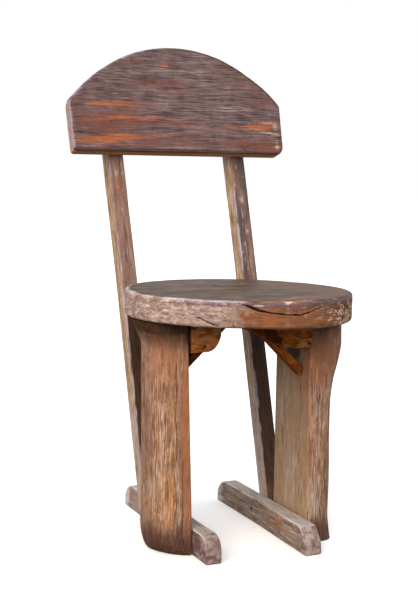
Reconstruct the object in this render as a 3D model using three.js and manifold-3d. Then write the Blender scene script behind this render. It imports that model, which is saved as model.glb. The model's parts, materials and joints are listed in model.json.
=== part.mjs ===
// Rustic wooden chair, hewn by hand: a thick round seat slab on two half-log legs that stand
// beside two floor runners, with a D-shaped backrest board nailed to two raked back posts.
// Millimetres, +Z up, front is -Y. The model is laid out with the seat's centre at x = 0, y = 0 and
// the floor at z = 0, and is moved at the end so that the origin is the bottom centre of its box.
import * as THREE from 'three';
import { mergeVertices } from 'three/addons/utils/BufferGeometryUtils.js';
import Module from 'manifold-3d';

const wasm = await Module();
wasm.setup();

const degrees = Math.PI / 180;
const gap = 0.3; // clearance between two pieces that touch

// Seat slab
const seatHeight = 440;
const seatRadius = 196.5;
const seatThickness = 44;
const seatEdgeRound = 7;
const shoulderSpread = 20 * degrees; // half the arc over which the rim swells at a post
const shoulderDrop = 12; // how far the swollen rim stays below the seat's top
const housingDepth = 2; // how far a post is let into the swollen rim
const rimFlatAngle = 162 * degrees; // where the rim is hewn a little flat, near the left post
const rimFlatSpread = 28 * degrees;
const rimFlatDepth = 5;

// Floor runners
const runnerOuterX = 103.7; // outer face, where leg and post stand against the runner
const runnerWidth = 28;
const runnerHeight = 46;
const runnerEdge = 3.5;
const heelRun = 36; // length of the rounded top at the back end
const heelLow = 17; // height at which that rounding starts
const heelFullness = 4; // the curve's control point, in from the corner

// Back posts
const postWidth = 27.5;
const postDepth = 35;
const postEdge = 2;
const postSeatY = 181; // front face at the height of the seat's middle
const postSplay = 0.0097; // sideways lean, per millimetre of height
const backRake = 18.5 * degrees; // above the seat
const postBendRun = 70; // height over which the post bends, above and below the seat's middle
const postOverlap = 150; // length of post behind the board

// Backrest board, measured in its own plane from the middle of its lower edge
const boardAboveSeat = 227.6; // from the seat's top to the lower edge of the board's back face
const boardThickness = 25;
const boardHeight = 211.5;
const boardLeftX = 215.5;
const boardRightX = 217;
const boardRightFlare = 5; // how much wider the right end is at its top
const boardArcRadius = 251.5;
const boardCrownX = 8; // the arc's crown is a little right of the middle
const boardShoulder = 43 * degrees; // slope at which the arc runs out straight on the left
const boardEndHeight = 97; // of the left end
const boardEdge = 3;
const boardTilt = 0.5 * degrees; // it was nailed on a little crooked
const boardSharpCorner = 4;
const boardRoundCorner = 16;

// Legs: half-log slabs, flat inside and round outside
const footHeight = 50; // height below which the foot changes its section
const legFrontSquareness = 3.2;
const legBackSquareness = 2.2;
const tenonHeight = 22;
const tenonRoot = 8; // how far the tenon's block reaches down into the leg
const tenonThickness = 24;
const tenonLength = 60;
const tenonInset = 14; // from the leg's inner face

// Corner blocks and braces under the seat
const blockHeight = 50;
const blockDepth = 28;
const blockEdge = 3;
const braceThickness = 14.3;
const braceDepth = 22;
const braceEdge = 1.5;
const braceBehindBlock = 3;
const braceAngle = 43.6 * degrees;

// Nails
const nailRadius = 1.9;
const nailHeadRadius = 4.2;
const nailHeadThickness = 1.6;
const nailPoint = 5;
const nailSides = 8;
const nailBite = 22; // how deep a nail goes into the second piece
const postNailBite = 15; // the same where that piece is thin
const nailInset = 13; // from the end of a brace
const headRoom = 12; // what a head's recess cuts clear in front of it
// Where nails go, as shares of the length, width or depth of the piece that holds their heads
const boardNailShares = { lower: 0.25, upper: 0.75 };
const legNailShares = { front: 0.15, back: 0.7 };
const legNailHeightShare = 0.4;
const blockSeatNailShares = { across: 0.65, deep: 0.35 };
const blockLegNailShares = { down: 0.22, deep: 0.65 };

// The left side, as seen from the front. Fronts and backs are distances from the seat's centre.
const leftRunnerFront = 119;
const leftRunnerBack = 255;
const leftNoseRun = 27; // length of the slope at the runner's front end
const leftNoseLow = 23; // height at which that slope ends
const leftNoseSet = 0.4; // how far its end lies behind the tip
const leftNoseBulge = 14;
const leftLegFront = 66;
const leftLegBack = 60;
const leftLegSwell = 64; // from the flat inner face to the roundest point, at the floor
const leftLegTaper = 0.03; // how much less that is, per millimetre of height
const leftLegLean = 0.04; // outwards, per millimetre of height
const leftFlare = 20; // how much the leg widens under the seat
const leftFlareDrop = 51; // from the seat down to where the flare starts
const leftFlareRun = 55;
const leftFootSwell = -13; // how much wider the leg is at the floor, less than 0 is narrower
const leftFootSquareness = 1.5; // exponent of the section's curve, 2 is an ellipse
const leftPostFoot = 55; // front face of the post at the floor, behind the seat's centre
const leftBlockProud = 5; // in front of the leg
const leftBlockWidth = 58;
const leftBlockRoundX = 18;
const leftBlockRoundZ = 28;
const leftBraceDrop = 92; // from the seat down to the brace's foot

// The right side, with the same names
const rightRunnerFront = 140;
const rightRunnerBack = 218;
const rightNoseRun = 25;
const rightNoseLow = 19;
const rightNoseSet = 4;
const rightNoseBulge = 4;
const rightLegFront = 81;
const rightLegBack = 41;
const rightLegSwell = 59.5;
const rightLegTaper = 0;
const rightLegLean = -0.005;
const rightFlare = 21;
const rightFlareDrop = 161;
const rightFlareRun = 117;
const rightFootSwell = 5;
const rightFootSquareness = 3;
const rightPostFoot = 46;
const rightBlockProud = 9;
const rightBlockWidth = 66;
const rightBlockRoundX = 36;
const rightBlockRoundZ = 38;
const rightBraceDrop = 108;

const sides = {
  left: {
    sign: -1,
    runner: {
      front: -leftRunnerFront,
      back: leftRunnerBack,
      noseRun: leftNoseRun,
      noseLow: leftNoseLow,
      noseSet: leftNoseSet,
      noseBulge: leftNoseBulge,
    },
    leg: {
      front: -leftLegFront,
      back: leftLegBack,
      swell: leftLegSwell,
      taper: leftLegTaper,
      lean: leftLegLean,
      flare: leftFlare,
      flareDrop: leftFlareDrop,
      flareRun: leftFlareRun,
      footSwell: leftFootSwell,
      footSquareness: leftFootSquareness,
    },
    block: {
      proud: leftBlockProud,
      width: leftBlockWidth,
      roundX: leftBlockRoundX,
      roundZ: leftBlockRoundZ,
    },
    brace: { drop: leftBraceDrop, toe: false },
    postFoot: leftPostFoot,
  },
  right: {
    sign: 1,
    runner: {
      front: -rightRunnerFront,
      back: rightRunnerBack,
      noseRun: rightNoseRun,
      noseLow: rightNoseLow,
      noseSet: rightNoseSet,
      noseBulge: rightNoseBulge,
    },
    leg: {
      front: -rightLegFront,
      back: rightLegBack,
      swell: rightLegSwell,
      taper: rightLegTaper,
      lean: rightLegLean,
      flare: rightFlare,
      flareDrop: rightFlareDrop,
      flareRun: rightFlareRun,
      footSwell: rightFootSwell,
      footSquareness: rightFootSquareness,
    },
    block: {
      proud: rightBlockProud,
      width: rightBlockWidth,
      roundX: rightBlockRoundX,
      roundZ: rightBlockRoundZ,
    },
    brace: { drop: rightBraceDrop, toe: true },
    postFoot: rightPostFoot,
  },
};

// The toe of a brace: its end is this high, and its underside sinks towards the bend
const toeEnd = 4; // beyond the point where the straight edge would meet the seat
const toeHeight = 18.5;
const toeRun = 32;
const toeBend = 12; // length over which the underside curves into the straight edge

const seatBottom = seatHeight - seatThickness;
const seatMiddle = seatHeight - seatThickness / 2;
const underSeat = seatBottom - gap;
const boardBottom = seatHeight + boardAboveSeat;
const seatNailZ = seatMiddle - shoulderDrop / 2;

const woods = {
  seat: { color: 0x6b5443, roughness: 0.45, metalness: 0 },
  board: { color: 0x5e3a30, roughness: 0.4, metalness: 0 },
  post: { color: 0x7d6048, roughness: 0.6, metalness: 0 },
  leg: { color: 0x8a6546, roughness: 0.7, metalness: 0 },
  runner: { color: 0x7f6753, roughness: 0.75, metalness: 0 },
  bracket: { color: 0x7a4a28, roughness: 0.6, metalness: 0 },
  iron: { color: 0x3a332f, roughness: 0.7, metalness: 0.8 },
};

// Turns a closed geometry into a solid that can be joined and cut
function toSolid(geometry) {
  geometry.deleteAttribute('normal');
  geometry.deleteAttribute('uv');
  const merged = mergeVertices(geometry, 1e-4);
  const vertProperties = new Float32Array(merged.attributes.position.array);
  const triVerts = new Uint32Array(merged.index.array);
  return new wasm.Manifold(new wasm.Mesh({ numProp: 3, vertProperties, triVerts }));
}

// Turns a solid back into a geometry with flat-shaded faces
function toGeometry(solid) {
  const { vertProperties, triVerts } = solid.getMesh();
  const indexed = new THREE.BufferGeometry();
  indexed.setAttribute('position', new THREE.BufferAttribute(new Float32Array(vertProperties), 3));
  indexed.setIndex(new THREE.BufferAttribute(new Uint32Array(triVerts), 1));
  const geometry = indexed.toNonIndexed();
  geometry.computeVertexNormals();
  return geometry;
}

function makeMesh(name, geometry, wood) {
  const mesh = new THREE.Mesh(geometry, new THREE.MeshStandardMaterial(woods[wood]));
  mesh.name = name;
  return mesh;
}

// Extrudes an outline, with worn edges that stay inside the outline and the depth
function extrude(shape, depth, edge, edgeSteps = 1) {
  return new THREE.ExtrudeGeometry(shape, {
    depth: depth - 2 * edge,
    steps: 1,
    curveSegments: 12,
    bevelEnabled: edge > 0,
    bevelThickness: edge,
    bevelSize: edge,
    bevelOffset: -edge,
    bevelSegments: edgeSteps,
  }).translate(0, 0, edge);
}

// Lays an extrusion of a (y, z) outline along x, starting at lowX
function layAlongX(geometry, lowX) {
  const turn = new THREE.Matrix4().makeBasis(
    new THREE.Vector3(0, 1, 0), new THREE.Vector3(0, 0, 1), new THREE.Vector3(1, 0, 0));
  return geometry.applyMatrix4(turn).translate(lowX, 0, 0);
}

// Lays an extrusion of an (x, z) outline along y, from frontY to frontY + depth
function layAlongY(geometry, frontY, depth) {
  return geometry.rotateX(Math.PI / 2).translate(0, frontY + depth, 0);
}

// Mirrors a geometry to the chair's left where sign is negative, with its faces still outwards
function mirrorX(geometry, sign) {
  if (sign > 0) return geometry;
  geometry.scale(-1, 1, 1);
  const position = geometry.attributes.position;
  for (let i = 0; i < position.count; i += 3) {
    const second = new THREE.Vector3().fromBufferAttribute(position, i + 1);
    const third = new THREE.Vector3().fromBufferAttribute(position, i + 2);
    position.setXYZ(i + 1, third.x, third.y, third.z);
    position.setXYZ(i + 2, second.x, second.y, second.z);
  }
  return geometry;
}

// Post line: straight below and above the seat, with a parabola between
const postBackSlope = Math.tan(backRake);
const postInnerFoot = runnerOuterX + gap;

function postFootSlope({ postFoot }) {
  return (postSeatY - postFoot) / seatMiddle;
}

function postSlope(side, z) {
  const bend = THREE.MathUtils.clamp((z - seatMiddle + postBendRun) / (2 * postBendRun), 0, 1);
  return THREE.MathUtils.lerp(postFootSlope(side), postBackSlope, bend);
}

function postFrontY(side, z) {
  const above = z - seatMiddle;
  if (Math.abs(above) >= postBendRun) return postSeatY + above * postSlope(side, z);
  const footSlope = postFootSlope(side);
  const turn = (postBackSlope - footSlope) * (above ** 2 + postBendRun ** 2) / (4 * postBendRun);
  return postSeatY + above * (footSlope + postBackSlope) / 2 + turn;
}

function postInnerX(z) {
  return postInnerFoot + postSplay * z;
}

// A post, or the room that a post needs when grow is the clearance around it
function postGeometry(side, grow = 0) {
  const { sign } = side;
  const bendSteps = 6;
  const top = boardBottom + postOverlap * Math.cos(backRake);
  const heights = [-grow];
  for (let i = 0; i <= bendSteps; i += 1) {
    heights.push(seatMiddle + postBendRun * (2 * i / bendSteps - 1));
  }
  const front = heights.map((z) => new THREE.Vector2(postFrontY(side, z) - grow, z));
  const back = heights.map((z, i) => new THREE.Vector2(
    front[i].x + (postDepth + 2 * grow) * Math.hypot(1, postSlope(side, z)), z));
  const depth = postDepth + 2 * grow;
  const frontTop = new THREE.Vector2(postFrontY(side, top) - grow, top);
  const backTop = new THREE.Vector2(
    frontTop.x + depth * Math.cos(backRake), frontTop.y - depth * Math.sin(backRake));
  const shape = new THREE.Shape([...front, frontTop, backTop, ...back.reverse()]);
  const lowX = sign > 0 ? postInnerFoot - grow : -postInnerFoot - postWidth - grow;
  const geometry = layAlongX(extrude(shape, postWidth + 2 * grow, grow ? 0 : postEdge), lowX);
  const splay = new THREE.Matrix4().set(1, 0, sign * postSplay, 0, 0, 1, 0, 0, 0, 0, 1, 0, 0, 0, 0, 1);
  return geometry.applyMatrix4(splay);
}

// Seat outline: a circle hewn flat in one place; a lower slab's rim swells to reach each post. Both
// changes of the radius run as cosine squared over their arcs.
const postMiddleX = postInnerX(seatMiddle) + postWidth / 2;
const shoulderAngle = Math.atan2(postSeatY, postMiddleX);
const shoulderRadius = Math.hypot(postSeatY, postMiddleX) + housingDepth;

function roundHump(distance, spread) {
  return Math.cos(Math.PI / 2 * Math.min(Math.abs(distance) / spread, 1)) ** 2;
}

function seatRimRadius(angle) {
  return seatRadius - rimFlatDepth * roundHump(angle - rimFlatAngle, rimFlatSpread);
}

function shoulderRimRadius(angle) {
  const fromShoulder = Math.abs(angle - Math.PI / 2) - (Math.PI / 2 - shoulderAngle);
  const swell = (shoulderRadius - seatRadius + seatEdgeRound) * roundHump(fromShoulder, shoulderSpread);
  return seatRimRadius(angle) - seatEdgeRound + swell;
}

function slabGeometry(rimRadius, thickness) {
  const rimSteps = 72;
  const edgeSteps = 3;
  const rim = [];
  for (let i = 0; i < rimSteps; i += 1) {
    const angle = -Math.PI / 2 + 2 * Math.PI * i / rimSteps;
    const radius = rimRadius(angle);
    rim.push(new THREE.Vector2(radius * Math.cos(angle), radius * Math.sin(angle)));
  }
  const slab = extrude(new THREE.Shape(rim), thickness, seatEdgeRound, edgeSteps);
  return slab.translate(0, 0, seatBottom);
}

function seatSolid() {
  const slab = toSolid(slabGeometry(seatRimRadius, seatThickness));
  return slab.add(toSolid(slabGeometry(shoulderRimRadius, seatThickness - shoulderDrop)));
}

// Backrest board: straight lower edge, short ends, one arc that runs out straight on the left. Its
// back lies against the posts' front faces, which lie level there.
const boardBackY = postFrontY(sides.left, boardBottom);

function boardGeometry() {
  const edgeSteps = 2;
  const arcZ = boardHeight - boardArcRadius;
  const rightTop = boardRightX + boardRightFlare;
  const rightAngle = Math.acos((rightTop - boardCrownX) / boardArcRadius);
  const leftAngle = Math.PI / 2 + boardShoulder;
  const roundX = boardRightX - boardRoundCorner;
  const shape = new THREE.Shape();
  shape.moveTo(-boardLeftX + boardSharpCorner, 0);
  shape.lineTo(roundX, 0);
  shape.absarc(roundX, boardRoundCorner, boardRoundCorner, -Math.PI / 2, 0, false);
  shape.absarc(boardCrownX, arcZ, boardArcRadius, rightAngle, leftAngle, false);
  shape.lineTo(-boardLeftX + boardSharpCorner, boardEndHeight + boardSharpCorner);
  shape.lineTo(-boardLeftX, boardEndHeight - boardSharpCorner);
  shape.lineTo(-boardLeftX, boardSharpCorner);
  const tilt = new THREE.Matrix4().makeRotationZ(boardTilt);
  const lean = new THREE.Matrix4().makeRotationX(Math.PI / 2 - backRake);
  const place = new THREE.Matrix4().makeTranslation(0, boardBackY - gap, boardBottom);
  const board = extrude(shape, boardThickness, boardEdge, edgeSteps);
  return board.applyMatrix4(place.multiply(lean).multiply(tilt));
}

// Runner: a skid with a rounded heel and a sloped nose, seen from the side
function runnerGeometry({ sign, runner }) {
  const chord = new THREE.Vector2(runner.noseSet - runner.noseRun, runner.noseLow - runnerHeight);
  const middle = new THREE.Vector2(runner.front + runner.noseRun, runnerHeight).addScaledVector(chord, 0.5);
  const bulge = new THREE.Vector2(chord.y, -chord.x).setLength(runner.noseBulge);
  const shape = new THREE.Shape();
  shape.moveTo(runner.front, 0);
  shape.lineTo(runner.back, 0);
  shape.lineTo(runner.back, heelLow);
  shape.quadraticCurveTo(
    runner.back - heelFullness, runnerHeight - heelFullness, runner.back - heelRun, runnerHeight);
  shape.lineTo(runner.front + runner.noseRun, runnerHeight);
  shape.quadraticCurveTo(
    middle.x + bulge.x, middle.y + bulge.y, runner.front + runner.noseSet, runner.noseLow);
  const lowX = sign > 0 ? runnerOuterX - runnerWidth : -runnerOuterX;
  return layAlongX(extrude(shape, runnerWidth, runnerEdge), lowX);
}

// Inner face of a leg: upright beside the runner, then leaning
function legInnerX({ leg }, z) {
  return runnerOuterX + gap + leg.lean * Math.max(0, z - runnerHeight);
}

// Leg: D-shaped sections, a squarish quarter in front and a rounder one behind, stacked by height
function legGeometry(side) {
  const { leg, sign } = side;
  const footSteps = 5;
  const flareSteps = 8;
  const arcSteps = 28;
  const flareFrom = seatBottom - leg.flareDrop;
  const levels = [];
  for (let i = 0; i <= footSteps; i += 1) {
    levels.push(footHeight * i / footSteps);
  }
  levels.push((footHeight + flareFrom) / 2);
  for (let i = 0; i <= flareSteps; i += 1) {
    levels.push(flareFrom + (underSeat - flareFrom) * i / flareSteps);
  }
  const middle = (leg.front + leg.back) / 2;
  const half = (leg.back - leg.front) / 2;
  const rings = levels.map((z) => {
    const foot = Math.max(0, 1 - z / footHeight) ** 2;
    const flare = THREE.MathUtils.smoothstep(z, flareFrom, flareFrom + leg.flareRun);
    const swell = leg.swell - leg.taper * z + leg.footSwell * foot + leg.flare * flare;
    const squareness = THREE.MathUtils.lerp(legFrontSquareness, leg.footSquareness, foot);
    const ring = [];
    for (let i = 0; i <= arcSteps; i += 1) {
      const angle = Math.PI * (i / arcSteps - 0.5);
      const power = 2 / (angle < 0 ? squareness : legBackSquareness);
      const outwards = swell * Math.abs(Math.cos(angle)) ** power;
      const along = half * Math.sign(angle) * Math.abs(Math.sin(angle)) ** power;
      ring.push([sign * (legInnerX(side, z) + outwards), middle + along, z]);
    }
    return ring;
  });
  return stackRings(rings, sign);
}

// Joins closed rings of equal count into one closed skin, with a fan over each end
function stackRings(rings, sign) {
  const count = rings[0].length;
  const last = (rings.length - 1) * count;
  const index = [];
  const addTriangle = (a, b, c) => (sign > 0 ? index.push(a, b, c) : index.push(a, c, b));
  for (let level = 0; level + 1 < rings.length; level += 1) {
    for (let i = 0; i < count; i += 1) {
      const a = level * count + i;
      const b = level * count + (i + 1) % count;
      addTriangle(a, b, b + count);
      addTriangle(a, b + count, a + count);
    }
  }
  for (let i = 1; i + 1 < count; i += 1) {
    addTriangle(0, i + 1, i);
    addTriangle(last, last + i, last + i + 1);
  }
  const geometry = new THREE.BufferGeometry();
  geometry.setAttribute('position', new THREE.Float32BufferAttribute(rings.flat(2), 3));
  geometry.setIndex(index);
  return geometry;
}

// Stub tenon on top of a leg, or its mortise in the seat when grow is the clearance
function tenonGeometry(side, grow = 0) {
  const innerX = legInnerX(side, underSeat) + tenonInset;
  const box = new THREE.BoxGeometry(
    tenonThickness + 2 * grow, tenonLength + 2 * grow, tenonHeight + tenonRoot + grow);
  return box.translate(
    side.sign * (innerX + tenonThickness / 2),
    (side.leg.front + side.leg.back) / 2,
    underSeat + (tenonHeight - tenonRoot + grow) / 2);
}

// Corner block: it fills the corner of leg and seat and is rounded below, towards the middle
function blockFrontY({ leg, block }) {
  return leg.front - block.proud;
}

function blockInnerX(side) {
  return legInnerX(side, seatBottom) - side.block.width;
}

function blockGeometry(side) {
  const { block, sign } = side;
  const inner = blockInnerX(side);
  const bottom = seatBottom - blockHeight;
  const fullness = 0.1; // the curve's control point, in from the corner as a share of the rounding
  const shape = new THREE.Shape();
  shape.moveTo(legInnerX(side, underSeat) - gap, underSeat);
  shape.lineTo(inner, underSeat);
  shape.lineTo(inner, bottom + block.roundZ);
  shape.quadraticCurveTo(
    inner + fullness * block.roundX, bottom + fullness * block.roundZ, inner + block.roundX, bottom);
  shape.lineTo(legInnerX(side, bottom) - gap, bottom);
  return mirrorX(layAlongY(extrude(shape, blockDepth, blockEdge), blockFrontY(side), blockDepth), sign);
}

// Brace: a strut from the leg's inner face up to the seat's underside, behind the corner block
function braceFrontY(side) {
  return blockFrontY(side) + blockDepth + braceBehindBlock;
}

// The brace's straight lower edge: its foot on the leg, and where it would meet the seat
function braceEdgeLine(side) {
  const footZ = seatBottom - side.brace.drop;
  const footX = legInnerX(side, footZ) - gap;
  const slope = Math.tan(braceAngle);
  return { footX, footZ, slope, tipX: footX - (underSeat - footZ) / slope };
}

// Underside of a brace's toe, which sinks evenly until it reaches the straight lower edge
function toeLine(side) {
  const { footX, footZ, slope, tipX } = braceEdgeLine(side);
  const endX = tipX - toeEnd;
  const endZ = underSeat - toeHeight;
  const meetX = endX + toeRun;
  return { endX, endZ, meetX, meetZ: footZ + (footX - meetX) * slope };
}

function braceGeometry(side) {
  const { footX, footZ, slope, tipX } = braceEdgeLine(side);
  const rise = braceThickness / Math.cos(braceAngle);
  const shape = new THREE.Shape();
  shape.moveTo(footX, footZ);
  if (side.brace.toe) {
    const { endX, endZ, meetX, meetZ } = toeLine(side);
    shape.lineTo(meetX + toeBend, meetZ - toeBend * slope);
    shape.quadraticCurveTo(meetX, meetZ, endX, endZ);
    shape.lineTo(endX, underSeat);
  } else {
    shape.lineTo(tipX, underSeat);
  }
  shape.lineTo(tipX + rise / slope, underSeat);
  shape.lineTo(footX, footZ + rise);
  return mirrorX(layAlongY(extrude(shape, braceDepth, braceEdge), braceFrontY(side), braceDepth), side.sign);
}

// Nails: where the head's top lies, which way it is driven and the pieces it goes through
const inwards = [0, -1, 0];
const upwards = [0, 0, 1];
const squareToBoard = [0, -Math.cos(backRake), Math.sin(backRake)];

function boardNails(name, side) {
  return Object.entries(boardNailShares).map(([level, share]) => {
    const along = postOverlap * share;
    const z = boardBottom + along * Math.cos(backRake) - postDepth * Math.sin(backRake);
    const y = boardBackY + along * Math.sin(backRake) + postDepth * Math.cos(backRake);
    return {
      name: `${name}_board_nail_${level}`,
      head: [side.sign * (postInnerX(z) + postWidth / 2), y, z],
      along: squareToBoard,
      length: postDepth + postNailBite,
      through: [`${name}_back_post`, 'backrest_board'],
    };
  });
}

function seatNail(name, side) {
  const postBackY = postFrontY(side, seatNailZ) + postDepth * Math.hypot(1, postSlope(side, seatNailZ));
  return {
    name: `${name}_seat_nail`,
    head: [side.sign * postMiddleX, postBackY, seatNailZ],
    along: inwards,
    length: postDepth + nailBite,
    through: [`${name}_back_post`, 'seat_slab'],
  };
}

function runnerNails(name, side) {
  const { sign, leg } = side;
  const faceX = sign * (runnerOuterX - runnerWidth);
  const low = runnerHeight * legNailHeightShare;
  const nails = Object.entries(legNailShares).map(([place, share]) => ({
    name: `${name}_leg_nail_${place}`,
    head: [faceX, leg.front + (leg.back - leg.front) * share, low],
    along: [sign, 0, 0],
    length: runnerWidth + nailBite,
    through: [`${name}_runner`, `${name}_leg`],
  }));
  const middle = runnerHeight / 2;
  nails.push({
    name: `${name}_post_nail`,
    head: [faceX, postFrontY(side, middle) + postDepth / 2, middle],
    along: [sign, 0, 0],
    length: runnerWidth + postNailBite,
    through: [`${name}_runner`, `${name}_back_post`],
  });
  return nails;
}

function blockNails(name, side) {
  const { sign, block } = side;
  const innerX = blockInnerX(side);
  const seatNailX = innerX + blockSeatNailShares.across * block.width;
  const seatNailY = blockFrontY(side) + blockSeatNailShares.deep * blockDepth;
  const legNailY = blockFrontY(side) + blockLegNailShares.deep * blockDepth;
  return [{
    name: `${name}_block_nail_seat`,
    head: [sign * seatNailX, seatNailY, seatBottom - blockHeight],
    along: upwards,
    length: blockHeight + nailBite,
    through: [`${name}_corner_block`, 'seat_slab'],
  }, {
    name: `${name}_block_nail_leg`,
    head: [sign * innerX, legNailY, seatBottom - blockLegNailShares.down * blockHeight],
    along: [sign, 0, 0],
    length: block.width + nailBite,
    through: [`${name}_corner_block`, `${name}_leg`],
  }];
}

function braceNails(name, side) {
  const { sign, brace } = side;
  const { footX, footZ, tipX } = braceEdgeLine(side);
  const y = braceFrontY(side) + braceDepth / 2;
  const headX = tipX + nailInset;
  let headZ = underSeat - nailInset * Math.tan(braceAngle);
  if (brace.toe) {
    const { endX, endZ, meetX, meetZ } = toeLine(side);
    headZ = THREE.MathUtils.mapLinear(headX, endX, meetX, endZ, meetZ);
  }
  return [{
    name: `${name}_brace_nail_leg`,
    head: [sign * (footX - nailInset * Math.cos(braceAngle)), y, footZ + nailInset * Math.sin(braceAngle)],
    along: [sign * Math.sin(braceAngle), 0, Math.cos(braceAngle)],
    length: nailInset / Math.tan(braceAngle) + nailBite,
    through: [`${name}_brace`, `${name}_leg`],
  }, {
    name: `${name}_brace_nail_seat`,
    head: [sign * headX, y, headZ],
    along: upwards,
    length: seatBottom - headZ + nailBite,
    through: [`${name}_brace`, 'seat_slab'],
  }];
}

function sideNails(name, side) {
  return [
    ...boardNails(name, side), seatNail(name, side), ...runnerNails(name, side),
    ...blockNails(name, side), ...braceNails(name, side),
  ];
}

// A nail in its own frame: the head's top at y = 0 and the point down
function nailGeometry(length) {
  const headRim = 0.8 * nailHeadRadius;
  const rimDrop = 0.4 * nailHeadThickness;
  const profile = [
    new THREE.Vector2(0, -length),
    new THREE.Vector2(nailRadius, nailPoint - length),
    new THREE.Vector2(nailRadius, -nailHeadThickness),
    new THREE.Vector2(nailHeadRadius, -nailHeadThickness),
    new THREE.Vector2(nailHeadRadius, -rimDrop),
    new THREE.Vector2(headRim, 0),
    new THREE.Vector2(0, 0),
  ];
  return new THREE.LatheGeometry(profile, nailSides);
}

// The hole that a nail fills, with clearance all round and a recess for its head
function nailHoleSolid(nail) {
  const aroundCorners = 1 / Math.cos(Math.PI / nailSides);
  const boreRadius = (nailRadius + gap) * aroundCorners;
  const recessRadius = (nailHeadRadius + gap) * aroundCorners;
  const depth = nail.length + gap;
  const recess = nailHeadThickness + gap;
  const bore = new THREE.CylinderGeometry(boreRadius, boreRadius, depth, nailSides);
  bore.translate(0, -depth / 2, 0);
  const head = new THREE.CylinderGeometry(recessRadius, recessRadius, recess + headRoom, nailSides);
  head.translate(0, (headRoom - recess) / 2, 0);
  const turn = nailMatrix(nail);
  return toSolid(bore.applyMatrix4(turn)).add(toSolid(head.applyMatrix4(turn)));
}

function nailMatrix(nail) {
  const down = new THREE.Vector3(0, -1, 0);
  const turn = new THREE.Quaternion().setFromUnitVectors(down, new THREE.Vector3(...nail.along).normalize());
  return new THREE.Matrix4().compose(new THREE.Vector3(...nail.head), turn, new THREE.Vector3(1, 1, 1));
}

// Solids of the wooden pieces, cut to fit each other
const pieces = new Map();
let seat = seatSolid();
for (const [name, side] of Object.entries(sides)) {
  const postRoom = toSolid(postGeometry(side, gap));
  const leg = toSolid(legGeometry(side)).add(toSolid(tenonGeometry(side)));
  seat = seat.subtract(postRoom).subtract(toSolid(tenonGeometry(side, gap)));
  pieces.set(`${name}_back_post`, { solid: toSolid(postGeometry(side)), wood: 'post' });
  pieces.set(`${name}_leg`, { solid: leg.subtract(postRoom), wood: 'leg' });
  pieces.set(`${name}_runner`, { solid: toSolid(runnerGeometry(side)), wood: 'runner' });
  pieces.set(`${name}_corner_block`, { solid: toSolid(blockGeometry(side)), wood: 'bracket' });
  pieces.set(`${name}_brace`, { solid: toSolid(braceGeometry(side)), wood: 'bracket' });
}
pieces.set('seat_slab', { solid: seat, wood: 'seat' });
pieces.set('backrest_board', { solid: toSolid(boardGeometry()), wood: 'board' });

// Nails, each with its hole in the pieces that it goes through
const chair = new THREE.Group();
for (const [name, side] of Object.entries(sides)) {
  for (const nail of sideNails(name, side)) {
    const hole = nailHoleSolid(nail);
    for (const pieceName of nail.through) {
      const piece = pieces.get(pieceName);
      piece.solid = piece.solid.subtract(hole);
    }
    const mesh = makeMesh(nail.name, nailGeometry(nail.length), 'iron');
    mesh.applyMatrix4(nailMatrix(nail));
    chair.add(mesh);
  }
}
for (const [name, { solid, wood }] of pieces) {
  chair.add(makeMesh(name, toGeometry(solid), wood));
}

// Origin at the bottom centre of the whole chair's box
chair.updateMatrixWorld(true);
const box = new THREE.Box3().setFromObject(chair);
const middle = box.getCenter(new THREE.Vector3());
chair.position.set(-middle.x, -middle.y, -box.min.z);
const assembly = new THREE.Group();
assembly.add(chair);

export default assembly;
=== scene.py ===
import json

import bpy
import numpy as np
from mathutils import Matrix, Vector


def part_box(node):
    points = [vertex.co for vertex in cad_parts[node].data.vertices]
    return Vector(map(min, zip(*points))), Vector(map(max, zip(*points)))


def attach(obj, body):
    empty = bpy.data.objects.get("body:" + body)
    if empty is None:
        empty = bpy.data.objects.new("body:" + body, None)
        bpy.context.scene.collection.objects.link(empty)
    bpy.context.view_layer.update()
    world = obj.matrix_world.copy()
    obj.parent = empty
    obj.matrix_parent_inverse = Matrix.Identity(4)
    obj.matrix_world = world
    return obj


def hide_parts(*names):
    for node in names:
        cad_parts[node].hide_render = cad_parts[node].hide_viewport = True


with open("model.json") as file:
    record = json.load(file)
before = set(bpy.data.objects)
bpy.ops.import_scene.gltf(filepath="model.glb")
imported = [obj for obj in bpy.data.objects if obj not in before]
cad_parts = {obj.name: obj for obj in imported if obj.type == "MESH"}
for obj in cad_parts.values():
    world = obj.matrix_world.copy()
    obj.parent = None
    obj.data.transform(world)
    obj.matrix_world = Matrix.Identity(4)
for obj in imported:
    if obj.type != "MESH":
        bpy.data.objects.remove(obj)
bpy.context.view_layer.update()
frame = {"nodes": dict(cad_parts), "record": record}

# Rustic wooden chair, hewn by hand. Lengths are millimetres from the seat's centre on the floor, as
# the joiner would mark them, and become metres in the frame when a piece is put in.
MM = 0.001
GAP = 0.3  # left between pieces that touch
SEAT_TOP, SEAT_BOTTOM, SEAT_MIDDLE, SEAT_RADIUS = 440.0, 396.0, 418.0, 196.5
UNDER_SEAT = SEAT_BOTTOM - GAP
RUNNER_OUTER, RUNNER_WIDTH, RUNNER_HEIGHT = 103.7, 28.0, 46.0
POST_INNER, POST_WIDTH, POST_DEPTH, POST_SPLAY = 104.0, 27.5, 35.0, 0.0097
POST_SPARE = 3.2  # the hewn outer faces stand this far outside the plain solids
POST_SEAT_Y, POST_BEND = 181.0, 70.0  # the front face beside the seat, and half the bend's height
POST_OVERLAP = 150.0  # how far a post reaches up behind the board, along its rake
POST_SQUARE_FROM = 470.0  # from here up its sections turn from level to square to the rake
RAKE = np.radians(18.5)
BOARD_BOTTOM, BOARD_THICK, BOARD_HEIGHT, BOARD_TILT = 667.6, 25.0, 211.5, np.radians(0.5)
BRACE_SLANT, BRACE_THICK, BRACE_DEPTH = 43.6, 14.3, 22.0
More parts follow.
